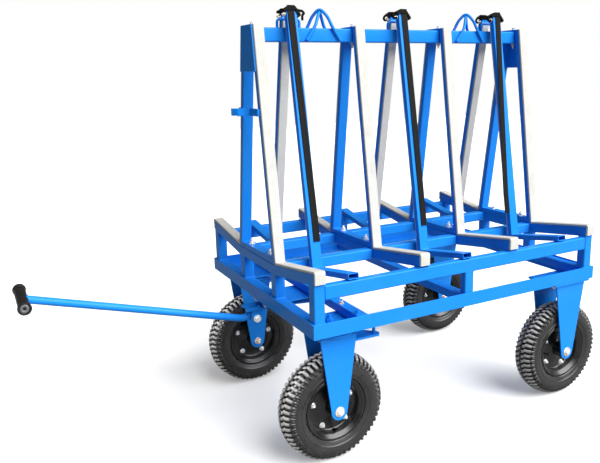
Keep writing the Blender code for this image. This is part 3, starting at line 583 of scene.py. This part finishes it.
def bend(t):
    """S of a tread groove in lug pitches, from the centre rib (0) to the shoulder (1), straight over that."""
    s = min(1.0, t / 0.45)
    return 0.25 + 0.42 * s - 0.13 * sin(2 * pi * s)


def lug_columns(t):
    """(place in a pitch, fall of the domed top, 1 on a groove's floor, 1 on a shoulder fin) round one lug."""
    top, wall = 0.52 - 0.06 * t, 0.06
    dome = ((0.0, 0.0016, 0), (0.13, 0.0006, 0), (0.34, 0.0001, 1), (0.64, 0.0001, 1), (0.87, 0.0006, 0),
            (1.0, 0.0016, 0))
    trough = ((0.0, 0), (0.25, 1), (0.62, 1), (0.85, 0), (1.0, 0))
    lug = [(u * top, fall, 0, fin) for u, fall, fin in dome]
    return lug + [(top + wall + v * (1.0 - top - 2 * wall), 0.0, 1, fin) for v, fin in trough]


def tyre_shape(settings):
    """A lugged tyre about the Y axis, and the tread height of each point: 0 groove, 0.5 side, 1 lug.

    The grid follows the grooves. A row is radius, half width, share of the groove and share of the fin.
    """
    rows = [(0.1989, 0.0040, 0, 0), (0.1988, 0.0058, 1, 0), (0.1984, 0.0120, 1, 0), (0.1975, 0.0190, 1, 0),
            (0.1957, 0.0260, 1, 0), (0.1926, 0.0325, 1, 0), (0.1886, 0.0378, 1, 0), (0.1858, 0.0410, 0.95, 0),
            (0.1834, 0.0430, 0.8, 0.2), (0.1808, 0.0446, 0.6, 1), (0.1740, 0.0464, 0.2, 1),
            (0.1665, 0.0472, 0, 1)]
    sidewall = [(0.1632, 0.0482), (0.1610, 0.0496), (0.1500, 0.0498), (0.1420, 0.0492), (0.1395, 0.0488),
                (0.1380, 0.0499), (0.1362, 0.0483), (0.1310, 0.0468), (0.1250, 0.0444), (0.1222, 0.0432),
                (0.1210, 0.0440), (0.1192, 0.0424), (0.1180, 0.0388), (0.1166, 0.0352), (0.1045, 0.0350)]
    rows += [(r, h, 0, 0) for r, h in sidewall]
    crown, core, fin, weave, woven = 0.1990, 0.150, 0.0026, 0.0022, 0.012
    pitch = 2 * pi / settings.lugs
    first, last = rows[1][1], rows[8][1]
    loops, heights = [], []
    for side, half in ((-1, reversed(rows)), (0, [(crown, 0.0, 0, 0)]), (1, rows)):
        for r, h, groove, ridge in half:
            t = min(1.0, max(0.0, (h - first) / (last - first)))
            away = hypot(r - core, h)
            loop = []
            for lug in range(settings.lugs):
                for share, fall, low, raised in lug_columns(t):
                    cut = groove * (settings.lug_depth * low + fall)
                    phase = lug + share + side * bend(t)
                    reach = r - cut * (r - core) / away
                    across = side * (h - cut * h / away + fin * ridge * raised)
                    across -= weave * cos(2 * pi * phase) * max(0.0, 1.0 - h / woven)
                    loop.append((reach * cos(phase * pitch), across, reach * sin(phase * pitch)))
                    # Marks: 0 picks the painted shade of the groove floors, 1 the scuff and painted highlight
                    # of the lug tops.
                    heights.append(0.5 if h > last or groove < 0.9 else 0.0 if low else 1.0)
            loops.append(loop)
    return skin(loops, ring=True), heights


def rim_shape():
    """A bolted pair of pressed rim halves with rolled lips, and the hub between the fork cheeks."""
    half = [(0.0105, 0.0580), (0.0270, 0.0580), (0.0300, 0.0555), (0.0300, 0.0170), (0.0335, 0.0128),
            (0.0460, 0.0118), (0.0485, 0.0096), (0.0660, 0.0090), (0.0690, 0.0068), (0.0870, RIM_WEB),
            (0.0915, 0.0080), (0.0942, 0.0125), (0.0955, 0.0250), (0.0975, 0.0305), (0.1015, 0.0338),
            (0.1060, 0.0360), (0.1085, 0.0395), (0.1115, 0.0422), (0.1145, 0.0424), (0.1166, 0.0408),
            (0.1168, 0.0380), (0.1145, 0.0360), (0.1085, 0.0352), (0.1046, 0.0330), (0.1035, 0.0290)]
    return skin(turned(half + [(r, -h) for r, h in reversed(half)], "y", 96), ring=True)


def rim_bolts(outer):
    """Five bolts round the rim: nuts on the outer face, heads on the inner one."""
    count, circle, start = 5, 0.0785, 23
    web = Vector((0, outer * RIM_WEB, 0))
    shapes = []
    for k in range(count):
        turn = radians(start + 360 / count * k)
        spot = Vector((circle * cos(turn), 0.0, circle * sin(turn)))
        shapes += nut_and_thread(spot + web, (0, outer, 0), M8_FLATS, k, 0.005)
        shapes += bolt_head(spot - web, (0, -outer, 0), M8_FLATS, k)
    return shapes


def valve(outer):
    """A tube valve leaning out of the dish."""
    turn = radians(272)
    out = Vector((cos(turn), 0.0, sin(turn)))
    root, tip = [r * out + Vector((0, outer * y, 0)) for r, y in ((0.0945, 0.014), (0.076, 0.044))]
    radii = [0.0072, 0.0068, 0.0052, 0.0044] + 4 * [0.0042] + [0.0036, 0.0044, 0.0046, 0.0046, 0.0036]
    return [swept(straight(root, tip, 12), radii, 16)]


class SLABFRAME_OT_wheels(bpy.types.Operator):
    """Make the lugged tyres, the dished rims with bolts and valves, and the axle bolts"""
    bl_idname = "slab_frame.wheels"
    bl_label = "Wheels"

    quarter_turns = dict(zip(WHEELS, (0, 0, 1, 3)))

    def execute(self, context):
        first = {}
        tyre, heights = tyre_shape(sizes(context))
        shapes = {"tyre": ([tyre], "tyre", "tyre_rubber", 40, heights),
                  "rim": ([rim_shape()], "rim", "black_enamel", 50, None),
                  "rim_bolts": (rim_bolts(-1), "zinc", "zinc_plate", 32, None),
                  "valve": (valve(-1), "strip", "tyre_rubber", 60, None)}
        for label in WHEELS:
            facing = Matrix.Rotation(pi if label.endswith("far") else 0.0, 4, "Z")
            turn = Matrix.Rotation(radians(90 * self.quarter_turns[label]), 4, "Y")
            at = Matrix.Translation(middle(f"rim_{label}")) @ turn @ facing
            for kind, (parts, finish, slot, sharp, marks) in shapes.items():
                node = f"{kind}_{label}"
                solid = [node] if node in NODES else ()
                made = piece(f"{node}_dressed", parts, finish, f"wheel_{label}", slot, solid, sharp, at=at,
                             share=first.get(kind), marks=marks)
                first.setdefault(kind, made)
            self.axle(label)
        return {"FINISHED"}

    def axle(self, label):
        """The axle bolt through both cheeks, with its yellow flange and nut."""
        end, place_name = label.split("_")
        node = f"{end}_axle_{place_name}"
        outer = -1 if place_name == "near" else 1
        hub = middle(f"rim_{label}")
        face = Vector((0, 0.0662, 0))
        flange = [(HUB_R, 0.0), (0.0185, 0.0), (0.0185, 0.0018), (0.0175, 0.0028), (HUB_R, 0.0028)]
        head = [hexagon(0.0118, 0.002), hexagon(0.0118, 0.0072), hexagon(0.0104, 0.0084)]
        place = axes(hub + outer * face, (0, outer, 0), 0.4)
        shaft = swept(straight(hub - face, hub + face, 1), 0.010, 24)
        washer, nut, screw = nut_and_thread(hub - outer * face, (0, -outer, 0), 0.019, 0.2, 0.005)
        bolt = [moved(skin(head), place), shaft, screw]
        yellow = [washer, nut, moved(skin(turned(flange, "z", 40)), place)]
        piece(f"{node}_bolt", bolt, "zinc", NODE_BODY[node], "zinc_plate", [node])
        piece(f"{node}_nut", yellow, "yellow", NODE_BODY[node], "zinc_plate")


# White facings on the A-frames and ribs

def pad_section(width, groove):
    """(across, share of thickness) round a pad: flat back, rounded edges, four shallow grooves in front."""
    half, lip, floor = width / 2, 0.0024, 0.0012
    edge = [(half, 0.0), (half, 0.72), (half - 0.0008, 0.90), (half - lip, 1.0)]
    face = []
    for k in range(4):
        centre = half * (0.6 - 0.4 * k)
        face += [(centre + lip, 1.0), (centre + floor, 1.0 - groove), (centre - floor, 1.0 - groove),
                 (centre - lip, 1.0)]
    return edge + face + [(-a, b) for a, b in reversed(edge)]


class SLABFRAME_OT_facings(bpy.types.Operator):
    """Make the white rubber facings: down each leg, out along the arm and over its end"""
    bl_idname = "slab_frame.facings"
    bl_label = "White facings"

    def stations(self):
        """(back, face) pairs of (out, up) along one facing, from the leg's top to the flap's end."""
        def over_arm(v, lift):
            return v, RIB_TOP + (v - HALF_BASE) * tan(ARM_RISE) + lift / cos(ARM_RISE)

        def valley(lift):
            across = lift / cos(LEG_LEAN) - lift / cos(ARM_RISE) * tan(LEG_LEAN)
            return over_arm(HALF_BASE + across / (1 + tan(ARM_RISE) * tan(LEG_LEAN)), lift)

        def on_leg(z, lift):
            return HALF_BASE - (z - RIB_TOP) * tan(LEG_LEAN) + lift / cos(LEG_LEAN), z

        thick, inner, steps, sweep = CLEAR + RUBBER, 0.001, 5, 90 + ARM_DEGREES
        low = RIB_TOP - 2 * HALF_TUBE + (ARM_END - HALF_BASE) * tan(ARM_RISE) + 0.004
        line = [(on_leg(A_TOP, CLEAR), on_leg(A_TOP, thick)), (on_leg(0.75, CLEAR), on_leg(0.75, thick)),
                (valley(CLEAR), valley(thick)), (over_arm(0.25, CLEAR), over_arm(0.25, thick))]
        v, z = over_arm(ARM_END + CLEAR, CLEAR)
        for turn in range(steps + 1):
            t = radians(sweep - turn * sweep / steps)
            line.append([(v - inner + r * cos(t), z - inner + r * sin(t)) for r in (inner, inner + RUBBER)])
        return line + [((ARM_END + CLEAR, low), (ARM_END + thick, low))]

    def execute(self, context):
        line = self.stations()
        section = pad_section(2 * HALF_TUBE, sizes(context).rib_depth / RUBBER)
        for label, side in SIDES:
            for i, x in enumerate(RIB_X):
                loops = [[(x + a, side * (v0 + (v1 - v0) * b), z0 + (z1 - z0) * b) for a, b in section]
                         for (v0, z0), (v1, z1) in line]
                node = f"slab_rubber_{label}_{i + 1}"
                piece(f"{node}_ribbed", [skin(loops)], "white", "chassis", "white_rubber", [node], 35)
        return {"FINISHED"}


# Securing bars

def bar_place(bar, across, a, b):
    """A point of a securing bar: across it, out along its foot tube and up along its upright."""
    side = -1 if bar.startswith("near") else 1
    return Vector((middle(f"securing_bar_{bar}").x + across,
                   side * (FOOT_START + a * cos(BAR_LEAN) - b * sin(BAR_LEAN)),
                   FOOT_Z + a * sin(BAR_LEAN) + b * cos(BAR_LEAN)))


class SLABFRAME_OT_securing_bars(bpy.types.Operator):
    """Make what each securing bar carries: white pad inside, black strip outside, cap, cross bolt and hook"""
    bl_idname = "slab_frame.securing_bars"
    bl_label = "Securing bars"

    hang = {"near_1": (-0.004, 0.007), "near_2": (0.005, 0.007), "near_3": (0.006, -0.034),
            "far_1": (0.002, -0.006), "far_2": (-0.003, 0.006), "far_3": (0.004, -0.004)}
    hook = [(0.022, 0.9425), (0.034, 0.9385), (0.046, 0.9365), (0.052, 0.9290), (0.046, 0.9220),
            (0.044, 0.9120), (0.044, 0.9040)]
    buckle = [(-0.014, 0.9440), (-0.033, 0.9410), (-0.043, 0.9310), (-0.037, 0.9215), (-0.023, 0.9250),
              (-0.017, 0.9340)]
    cap = [(0.0290, 0.9140), (0.0330, 0.9180), (0.0325, 0.9240), (0.0215, 0.9400), (0.0150, 0.9500),
           (0.0090, 0.9535), (-0.0130, 0.9535), (-0.0200, 0.9490), (-0.0300, 0.9430), (-0.0325, 0.9390),
           (-0.0300, 0.9350), (-0.0210, 0.9340), (-0.0150, 0.9362), (0.0140, 0.9362), (0.0230, 0.9230)]

    def execute(self, context):
        section = pad_section(0.036, sizes(context).rib_depth / RUBBER)
        for bar in BARS:
            def place(across, a, b):
                return bar_place(bar, across, a, b)

            body = f"bar_{bar}"
            node = f"bar_rubber_{bar}"
            pad = [[place(a, 0.0297 - share * RUBBER, b) for a, share in section] for b in (0.0103, 0.923)]
            piece(f"{node}_ribbed", [skin(pad)], "white", body, "white_rubber", [node], 35)
            strap = self.strap(place, sizes(context).strip_width / 2, *self.hang[bar])
            piece(f"bar_strap_{bar}", [strap], "strip", body, "grip_rubber", sharp=30)
            folded = skin([[place(u, depth, b) for u, b in self.cap] for depth in (0.0285, 0.0560)])
            piece(f"bar_cap_{bar}", [folded], "cap", body, "grip_rubber", sharp=30)
            piece(f"bar_bolt_{bar}", self.cross_bolt(place), "yellow", body, "zinc_plate")
            bent = self.hook if bar.endswith("1") else self.buckle
            wire = swept(smooth_path([place(u, 0.042, b) for u, b in bent], 5), 0.0046, 12)
            piece(f"bar_hook_{bar}", [wire], "cap", body, "grip_rubber")
        return {"FINISHED"}

    def strap(self, place, half, top, foot):
        """The black strip; it hangs from the cap and swings aside a little, from top to foot."""
        face, start, step, hung_at, swing = 0.0502, 0.105, 0.0849, 0.954, 0.75
        right = [(half, 0.0), (half, 0.0026), (half - 0.0012, 0.0036), (0.0035, 0.0036), (0.0022, 0.0029)]
        outline = [(-half, 0.0)] + right + [(-a, t) for a, t in reversed(right[1:])]
        loops = []
        for b in [start + step * k for k in range(11)]:
            aside = top + (foot - top) * min(1.0, (hung_at - b) / swing)
            loops.append([place(a + aside, face + t, b) for a, t in outline])
        return skin(loops)

    def cross_bolt(self, place):
        left, right = place(-0.034, 0.040, 0.925), place(0.034, 0.040, 0.925)
        axis = (right - left).normalized()
        shapes = [swept(straight(left, right, 2), 0.003, 12)]
        for end, sign in ((left, -1), (right, 1)):
            shapes += nut_and_thread(end - axis * sign * 0.010, axis * sign, 0.010, 0.3, 0.004)
        return shapes


# Top beam, bails and lifting eyes

class SLABFRAME_OT_top_beam(bpy.types.Operator):
    """Make the top beam with its strap bails, and the crossed rods of the two lifting eyes"""
    bl_idname = "slab_frame.top_beam"
    bl_label = "Top beam"

    half_width, bay, eye_rod, eye_half, eye_rise, eye_drop = 0.025, 0.48, 0.006, 0.070, 0.073, 0.0096

    def execute(self, context):
        section = rounded_rectangle(-self.half_width, self.half_width, BEAM_BOTTOM, BEAM_TOP, 0.005, 5)
        shapes = [skin([[(MID_X + x, a, b) for a, b in section] for x in (-BEAM_HALF, BEAM_HALF)])]
        beads = []
        for k in (-1, 0, 1):
            self.bail(MID_X + k * self.bay, shapes, beads)
        piece("top_beam_coated", shapes, "blue", "chassis", "blue_enamel", ["top_beam"], 40)
        for node in [f"lifting_eye_{end}" for end in ENDS]:
            rods = []
            for turn, drop in ((1, 0.0), (-1, self.eye_drop)):
                self.eye(middle(node).x, turn, drop, rods, beads)
            piece(f"{node}_coated", rods, "blue", "chassis", "blue_enamel", [node], 40)
        piece("top_beam_welds", beads, "blue", "chassis", "blue_enamel", sharp=60)
        return {"FINISHED"}

    def bail(self, x, shapes, beads):
        """A strap bail bent from rod, welded round both feet."""
        rod, reach, top, curve, weld = 0.005, 0.045, BEAM_TOP + 0.031, 0.012, 0.0052
        right = [(reach, BEAM_TOP - 0.003), (reach, BEAM_TOP + 0.006)]
        right += arc(reach - curve, top - curve, curve, 0, 90, 7)
        line = [(x + a, 0, b) for a, b in right] + [(x - a, 0, b) for a, b in reversed(right)]
        shapes.append(swept(line, rod, 14))
        for foot in (x - reach, x + reach):
            loop = [(foot + weld * cos(t), weld * sin(t), BEAM_TOP) for t in full_turn(14)]
            beads.append(weld_bead(loop, 0.0022))

    def eye(self, x, turn, drop, rods, beads):
        """One of a lifting eye's two rods, from the beam's one face over its top to the other."""
        rod, half = self.eye_rod, self.eye_half
        face = self.half_width + rod + CLEAR
        apex, shoulder, low = BEAM_TOP + self.eye_rise - rod, BEAM_TOP + 0.004, BEAM_BOTTOM + rod
        half_top = half * (apex - shoulder) / (apex - BEAM_BOTTOM)
        high = apex - drop
        leg = [(half, face, low), (half_top, face, shoulder), (0.64 * half_top, 0.74 * face, high - 0.030),
               (0.38 * half_top, 0.46 * face, high - 0.0130), (0.16 * half_top, 0.20 * face, high - 0.0025)]
        line = [(x + turn * a, -b, c) for a, b, c in leg] + [(x, 0.0, high)]
        line += [(x - turn * a, b, c) for a, b, c in reversed(leg)]
        rods.append(swept(smooth_path(line, 6), rod, 16))
        for s in (1, -1):
            foot = Vector((x + s * turn * half, -s * face, low))
            neck = Vector((x + s * turn * half_top, -s * face, shoulder))
            for off in (-1, 1):
                shift = Vector((off * 0.0055, s * 0.0045, 0.0))
                beads.append(weld_bead([foot + shift, foot.lerp(neck, 0.72) + shift], 0.0024))


# Drawbar and clevis

class SLABFRAME_OT_drawbar(bpy.types.Operator):
    """Make the bent drawbar with its T handle, the ribbed grip and the clevis pin"""
    bl_idname = "slab_frame.drawbar"
    bl_label = "Drawbar"

    rise, reach, offset, tube, handle_half = radians(15.9), 0.832, 0.012, 0.0135, 0.1085

    def execute(self, context):
        clevis = Vector((middle("clevis_pin").x, 0.0, middle("clevis_pin").z))
        along = Vector((-cos(self.rise), 0.0, sin(self.rise)))
        below = Vector((-sin(self.rise), 0.0, -cos(self.rise)))

        def beside(run, drop):
            return clevis + run * along + drop * below

        handle = beside(self.reach, self.offset)
        bow = [beside(run, drop) for run, drop in (
            (0.0135, -0.0215), (0.0185, -0.0150), (0.0255, -0.0055), (0.0345, 0.0035), (0.0460, 0.0095),
            (0.0620, self.offset), (0.0850, self.offset))]
        line = smooth_path(bow, 5) + [beside(0.3, self.offset), handle]
        boss = [(0.0085, 0.0165), (0.0168, 0.0165), (0.018, 0.0153)]
        boss += [(r, -h) for r, h in reversed(boss)]
        end = Vector((0, self.handle_half, 0))
        neck = [handle - along * 0.0142 + 0.0132 * (cos(t) * below + sin(t) * Vector((0, 1, 0)))
                for t in full_turn(24)]
        shapes = [swept(line, self.tube, 28), swept(straight(handle - end, handle + end, 1), self.tube, 28),
                  moved(skin(turned(boss, "y", 36), ring=True), Matrix.Translation(clevis)),
                  weld_bead(neck + neck[:1], 0.003)]
        piece("drawbar_coated", shapes, "blue", "drawbar_arm", "blue_enamel", ["drawbar"], 40)
        grip = self.grip(handle, along, below)
        piece("handle_grip_ribbed", grip, "grip", "drawbar_arm", "grip_rubber", ["handle_grip"], 45)
        rolled = [(0.0057, 0.1082), (0.0059, 0.1092), (0.0085, 0.1102), (0.0120, 0.1104), (0.0136, 0.1096),
                  (0.0136, 0.1082)]
        piece("handle_tube_ends", twin_rings(rolled, 36, handle), "steel", "drawbar_arm", "zinc_plate")
        piece("clevis_pin_plated", self.pin(clevis), "zinc", "steering", "zinc_plate", ["clevis_pin"])
        return {"FINISHED"}

    def pin(self, clevis):
        """The clevis pin: dished flange and small hexagon on the near side, nut on the far side."""
        head = [(HUB_R, 0.0258), (0.0150, 0.0258), (0.0150, 0.0318), (0.0140, 0.0338), (0.0115, 0.0348),
                (0.0108, 0.0332), (HUB_R, 0.0332)]
        shank = [(HUB_R, -0.0262), (0.008, -0.0262), (0.008, 0.0262), (HUB_R, 0.0262)]
        hub = [hexagon(0.0085, 0.0), hexagon(0.0085, 0.0030), hexagon(0.0072, 0.0040)]
        place = Matrix.Translation(clevis)
        shapes = [moved(skin(turned(head, "y", 44)), place @ Matrix.Rotation(pi, 4, "X")),
                  moved(skin(turned(shank, "y", 32)), place),
                  moved(skin(hub), axes(clevis + Vector((0, -0.0330, 0)), (0, -1, 0), 0.5))]
        return shapes + nut_and_thread(clevis + Vector((0, 0.0258, 0)), (0, 1, 0), 0.017, 0.2, 0.004)

    def grip(self, handle, along, below):
        """Ribbed sleeve, open at the back for the drawbar, with flanged ends round thin dark discs, painted
        shade that stands for the hollow tube ends.
        """
        end, flange, inner, outer, mouth, ribs, steps = 0.1125, 0.1040, 0.0138, 0.0164, 0.0165, 3, 8
        half = [(inner, mouth), (outer, mouth)]
        pitch = (flange - mouth) / ribs
        for k in range(ribs):
            half += [(outer + 0.0024 * sin(pi * s / steps), mouth + (k + s / steps) * pitch)
                     for s in range(1, steps + 1)]
        half += [(0.0205, flange + 0.0006), (0.0215, flange + 0.002), (0.0215, end - 0.002),
                 (0.0205, end - 0.0004), (0.0185, end), (0.0150, end - 0.0012), (0.0138, end - 0.004)]
        # A thin dark disc in each tube end: painted shade of the hollow bore.
        shaded_bore_disc = [(0.0001, 0.1082), (0.0001, 0.1087), (0.0040, 0.1088), (0.0058, 0.1090), (0.0060, 0.1082)]
        band = [(inner, -mouth), (outer, -mouth), (0.0180, -0.5 * mouth), (0.0184, 0.0),
                (0.0180, 0.5 * mouth), (outer, mouth), (inner, mouth)]
        front = skin([[handle + r * (cos(t) * along + sin(t) * below) + Vector((0, y, 0)) for r, y in band]
                      for t in [radians(-125 + 10 * k) for k in range(26)]])
        return twin_rings(half, 48, handle) + twin_rings(shaded_bore_disc, 36, handle) + [front]


# Fasteners and welds

class SLABFRAME_OT_fasteners(bpy.types.Operator):
    """Put in the bolts of the A-frames, caster plates and tow mount, and the nuts of the steering pins"""
    bl_idname = "slab_frame.fasteners"
    bl_label = "Fasteners"

    def execute(self, context):
        heads, nuts, painted = [], [], []
        up, down = (0, 0, 1), (0, 0, -1)
        for k, x in enumerate(RIB_X):
            heads += bolt_head((x, 0.0, A_TOP), up, M8_FLATS, 0.3 + k)
            nuts += nut_and_thread((x, 0.0, BEAM_BOTTOM), down, M8_FLATS, 0.7 * k, 0.010)
            for _, side in SIDES:
                heads += nut_and_thread((x, side * 0.090, FOOT_TOP), up, 0.015, 0.5 * k + side, 0.009)
        plate_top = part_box("rear_fork_near")[1].z
        plate_low, cross_top = plate_top - PLATE, FLANGE_TOP + 0.030
        covered = (None, None)
        base_bolts = ((-0.616, 0.305, covered), (-0.616, 0.420, covered), (-0.446, 0.305, (cross_top, nuts)),
                      (-0.446, 0.420, (cross_top, painted)), (0.455, 0.460, (FLANGE_TOP, heads)),
                      (0.6215, 0.356, covered), (0.6215, 0.460, covered), (-0.632, 0.045, covered),
                      (-0.440, 0.058, (cross_top, heads)))
        for _, side in SIDES:
            for x, out, (head_at, kind) in base_bolts:
                if kind is not None:
                    kind += bolt_head((MID_X + x, side * out, head_at), up, M8_FLATS, x * 9)
                nuts += nut_and_thread((MID_X + x, side * out, plate_low), down, M8_FLATS, x * 7, 0.004)
        for x, y, flats in ((-0.53, -0.369, 0.024), (-0.53, 0.369, 0.024), (-0.56, 0.0, 0.030)):
            painted += nut_and_thread((MID_X + x, y, plate_top), up, flats, 0.4, 0.012)
        piece("frame_bolts", heads, "zinc", "chassis", "zinc_plate")
        piece("swivel_bolts_painted", painted, "blue", "chassis", "blue_enamel")
        piece("frame_nuts", nuts, "yellow", "chassis", "zinc_plate")
        for label, side in SIDES:
            self.rod_caps(label, side)
        return {"FINISHED"}

    def rod_caps(self, label, side):
        """A spring cap on the pin at each end of a tie rod."""
        low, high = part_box(f"tie_rod_{label}")
        eye = 0.012
        outer_y = side * (max(abs(low.y), abs(high.y)) - eye)
        cap = skin(turned([(HUB_R, 0.0), (0.0105, 0.0), (0.0105, 0.0014), (0.0085, 0.0016), (0.0080, 0.0040),
                           (0.0060, 0.0050), (HUB_R, 0.0050)], "z", 28))
        for name, x, y, body in (("inner", low.x + eye, side * 0.050, "steering"),
                                 ("outer", high.x - eye, outer_y, f"front_fork_assembly_{label}")):
            at = Matrix.Translation((x, y, high.z + 0.0004))
            piece(f"tie_rod_cap_{label}_{name}", [moved(cap, at)], "zinc", body, "zinc_plate")


def around(x, side, inner, outer, z):
    """Four runs of weld round the foot of a post on one side of the frame."""
    y0, y1 = sorted((side * inner, side * outer))
    x0, x1 = x - HALF_TUBE, x + HALF_TUBE
    corners = [(x0, y0, z), (x1, y0, z), (x1, y1, z), (x0, y1, z)]
    return [weld_bead([corners[k], corners[(k + 1) % 4]]) for k in range(4)]


class SLABFRAME_OT_welds(bpy.types.Operator):
    """Run the weld beads: post feet, fork cheeks, gussets, rails and securing bars"""
    bl_idname = "slab_frame.welds"
    bl_label = "Welds"

    outer_post, inner_post, beside_tube = (0.437, 0.477), (0.130, 0.170), 0.0205
    front_cheek, rear_cheek, gusset = 0.0595, 0.0665, 0.192

    def execute(self, context):
        piece("frame_welds", self.frame_beads(), "blue", "chassis", "blue_enamel", sharp=60)
        for label, _ in SIDES:
            hub = middle(f"rim_front_{label}")
            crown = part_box(f"swivel_base_{label}")[0].z + 0.0133
            beads = []
            for y in (hub.y - self.front_cheek, hub.y + self.front_cheek):
                beads.append(weld_bead([(hub.x + run, y, crown) for run in (-0.068, -0.035)], 0.003))
            body = f"front_fork_assembly_{label}"
            piece(f"front_fork_welds_{label}", beads, "blue", body, "blue_enamel", sharp=60)
        for bar in BARS:
            corners = [bar_place(bar, s * 0.0195, a, 0.0105)
                       for s, a in ((-1, 0.030), (-1, 0.050), (1, 0.050), (1, 0.030))]
            bead = weld_bead(corners + corners[:1], 0.0028)
            piece(f"bar_welds_{bar}", [bead], "blue", f"bar_{bar}", "blue_enamel", sharp=60)
        return {"FINISHED"}

    def frame_beads(self):
        beads = []
        foot, sill = FLANGE_TOP + 0.001, FLANGE_TOP + 0.0413
        for x in (RIB_X[0], RIB_X[3]):
            for _, side in SIDES:
                for post in (self.outer_post, self.inner_post):
                    beads += around(x, side, *post, sill)
        for _, side in SIDES:
            beads += around(MID_X, side, *self.outer_post, foot)
            for x, faces in zip(RIB_X, ((1,), (-1, 1), (-1, 1), (-1,))):
                beads += [weld_bead([(x + s * self.beside_tube, side * y, RAIL_TOP)
                                     for y in (RAIL_INNER, ARM_END)]) for s in faces]
        low = A_TOP - self.gusset * (A_TOP - RIB_TOP)
        reach = HALF_BASE - (low - RIB_TOP) * tan(LEG_LEAN)
        for x in (RIB_X[0] - self.beside_tube, RIB_X[3] + self.beside_tube):
            beads += [weld_bead([(x, s * reach, low), (x, s * (reach - 0.020), low)]) for s in (-1, 1)]
        for label, _ in SIDES:
            hub = middle(f"rim_rear_{label}")
            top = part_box(f"rear_fork_{label}")[1].z - PLATE
            beads += [weld_bead([(hub.x + run, hub.y + s * self.rear_cheek, top) for run in (-0.079, 0.079)])
                      for s in (-1, 1)]
        return beads


class SLABFRAME_OT_stage(bpy.types.Operator):
    """Set the pale floor, the soft lights and the camera"""
    bl_idname = "slab_frame.stage"
    bl_label = "Stage"

    camera_at = Vector((-1.5646 + 0.37546, -2.294, 1.3519))
    yaw, pitch, roll = radians(28.4841), radians(11.9919), radians(-0.9884)
    lens_mm, sensor_mm, shift = 40.015, 36.0, (-0.05, -0.0275)

    def execute(self, context):
        ground = self.floor(context, 14.0, -0.0012)
        plated = {FINISH["zinc"], FINISH["yellow"]}
        meshes = [made for made in bpy.data.objects if made.type == "MESH"]
        bolts = [made for made in meshes if plated & set(made.data.materials)]
        treads = [bpy.data.objects[f"tyre_{label}_dressed"] for label in WHEELS if label != "rear_far"]
        self.sun(context, "key_light", 6.6, 60, (0.32, -0.64, 0.70))
        self.accent(context, "tread_light", 4.0, 25, (-0.80, 0.35, 0.48), treads)
        self.accent(context, "bolt_light", 1.3, 40, (-0.35, -0.80, 0.49), bolts)
        lamp = self.accent(context, "floor_fill", 1.5, 60, (0.0, 0.0, 1.0), [ground])
        lamp.light_linking.blocker_collection = lamp.light_linking.receiver_collection
        self.camera(context)
        context.scene.world = studio_air()
        context.scene.view_settings.view_transform = "Standard"
        return {"FINISHED"}

    def camera(self, context):
        """The photograph's camera."""
        ahead = Vector((sin(self.yaw) * cos(self.pitch), cos(self.yaw) * cos(self.pitch), -sin(self.pitch)))
        level = Vector((cos(self.yaw), -sin(self.yaw), 0.0))
        upright = level.cross(ahead)
        right = level * cos(self.roll) + upright * sin(self.roll)
        up = upright * cos(self.roll) - level * sin(self.roll)
        lens = bpy.data.cameras.new("photo_camera")
        lens.lens = self.lens_mm
        lens.sensor_width = self.sensor_mm
        lens.clip_end = 100.0
        lens.shift_x, lens.shift_y = self.shift
        camera = bpy.data.objects.new("photo_camera", lens)
        turn = Matrix((right, up, -ahead)).transposed().to_4x4()
        camera.matrix_world = Matrix.Translation(self.camera_at) @ turn
        context.collection.objects.link(camera)
        context.scene.camera = camera

    def floor(self, context, half, z):
        """The studio floor, just under the wheels."""
        mesh = bpy.data.meshes.new("studio_floor")
        corners = [(-half, -half, z), (half, -half, z), (half, half, z), (-half, half, z)]
        mesh.from_pydata(corners, [], [(0, 1, 2, 3)])
        mesh.materials.append(studio_paint(context.scene.slab_frame_colours))
        sheet = bpy.data.objects.new("studio_floor", mesh)
        context.collection.objects.link(sheet)
        return sheet

    def sun(self, context, name, energy, spread, towards):
        """A broad soft light from a direction, its spread in degrees."""
        lamp = bpy.data.lights.new(name, "SUN")
        lamp.energy = energy
        lamp.angle = radians(spread)
        holder = bpy.data.objects.new(name, lamp)
        holder.location = Vector(towards) * 6.0
        holder.rotation_euler = Vector(towards).to_track_quat("Z", "Y").to_euler()
        context.collection.objects.link(holder)
        return holder

    def accent(self, context, name, energy, spread, towards, pieces):
        """A light that falls on some pieces only."""
        lamp = self.sun(context, name, energy, spread, towards)
        lit = bpy.data.collections.new(f"{name}_falls_on")
        for made in pieces:
            lit.objects.link(made)
        lamp.light_linking.receiver_collection = lit
        return lamp


class SLABFRAME_PT_panel(bpy.types.Panel):
    """Pieces of the trolley, in the order they are made"""
    bl_idname = "SLABFRAME_PT_panel"
    bl_label = "Slab frame"
    bl_space_type = "VIEW_3D"
    bl_region_type = "UI"
    bl_category = "Slab frame"

    def draw(self, context):
        for operator in OPERATORS:
            self.layout.operator(operator.bl_idname)


OPERATORS = (SLABFRAME_OT_finishes, SLABFRAME_OT_steelwork, SLABFRAME_OT_wheels, SLABFRAME_OT_facings,
             SLABFRAME_OT_securing_bars, SLABFRAME_OT_top_beam, SLABFRAME_OT_drawbar,
             SLABFRAME_OT_fasteners, SLABFRAME_OT_welds, SLABFRAME_OT_stage)
GROUPS = (SlabFrameSizes, SlabFrameColours)


def register():
    for kind in GROUPS + OPERATORS + (SLABFRAME_PT_panel,):
        bpy.utils.register_class(kind)
    bpy.types.Scene.slab_frame_sizes = PointerProperty(type=SlabFrameSizes)
    bpy.types.Scene.slab_frame_colours = PointerProperty(type=SlabFrameColours)


def unregister():
    del bpy.types.Scene.slab_frame_colours
    del bpy.types.Scene.slab_frame_sizes
    for kind in reversed(GROUPS + OPERATORS + (SLABFRAME_PT_panel,)):
        bpy.utils.unregister_class(kind)


def main():
    register()
    for operator in OPERATORS:
        getattr(bpy.ops.slab_frame, operator.bl_idname.split(".")[1])()
    bpy.context.view_layer.update()


if __name__ == "__main__":
    main()
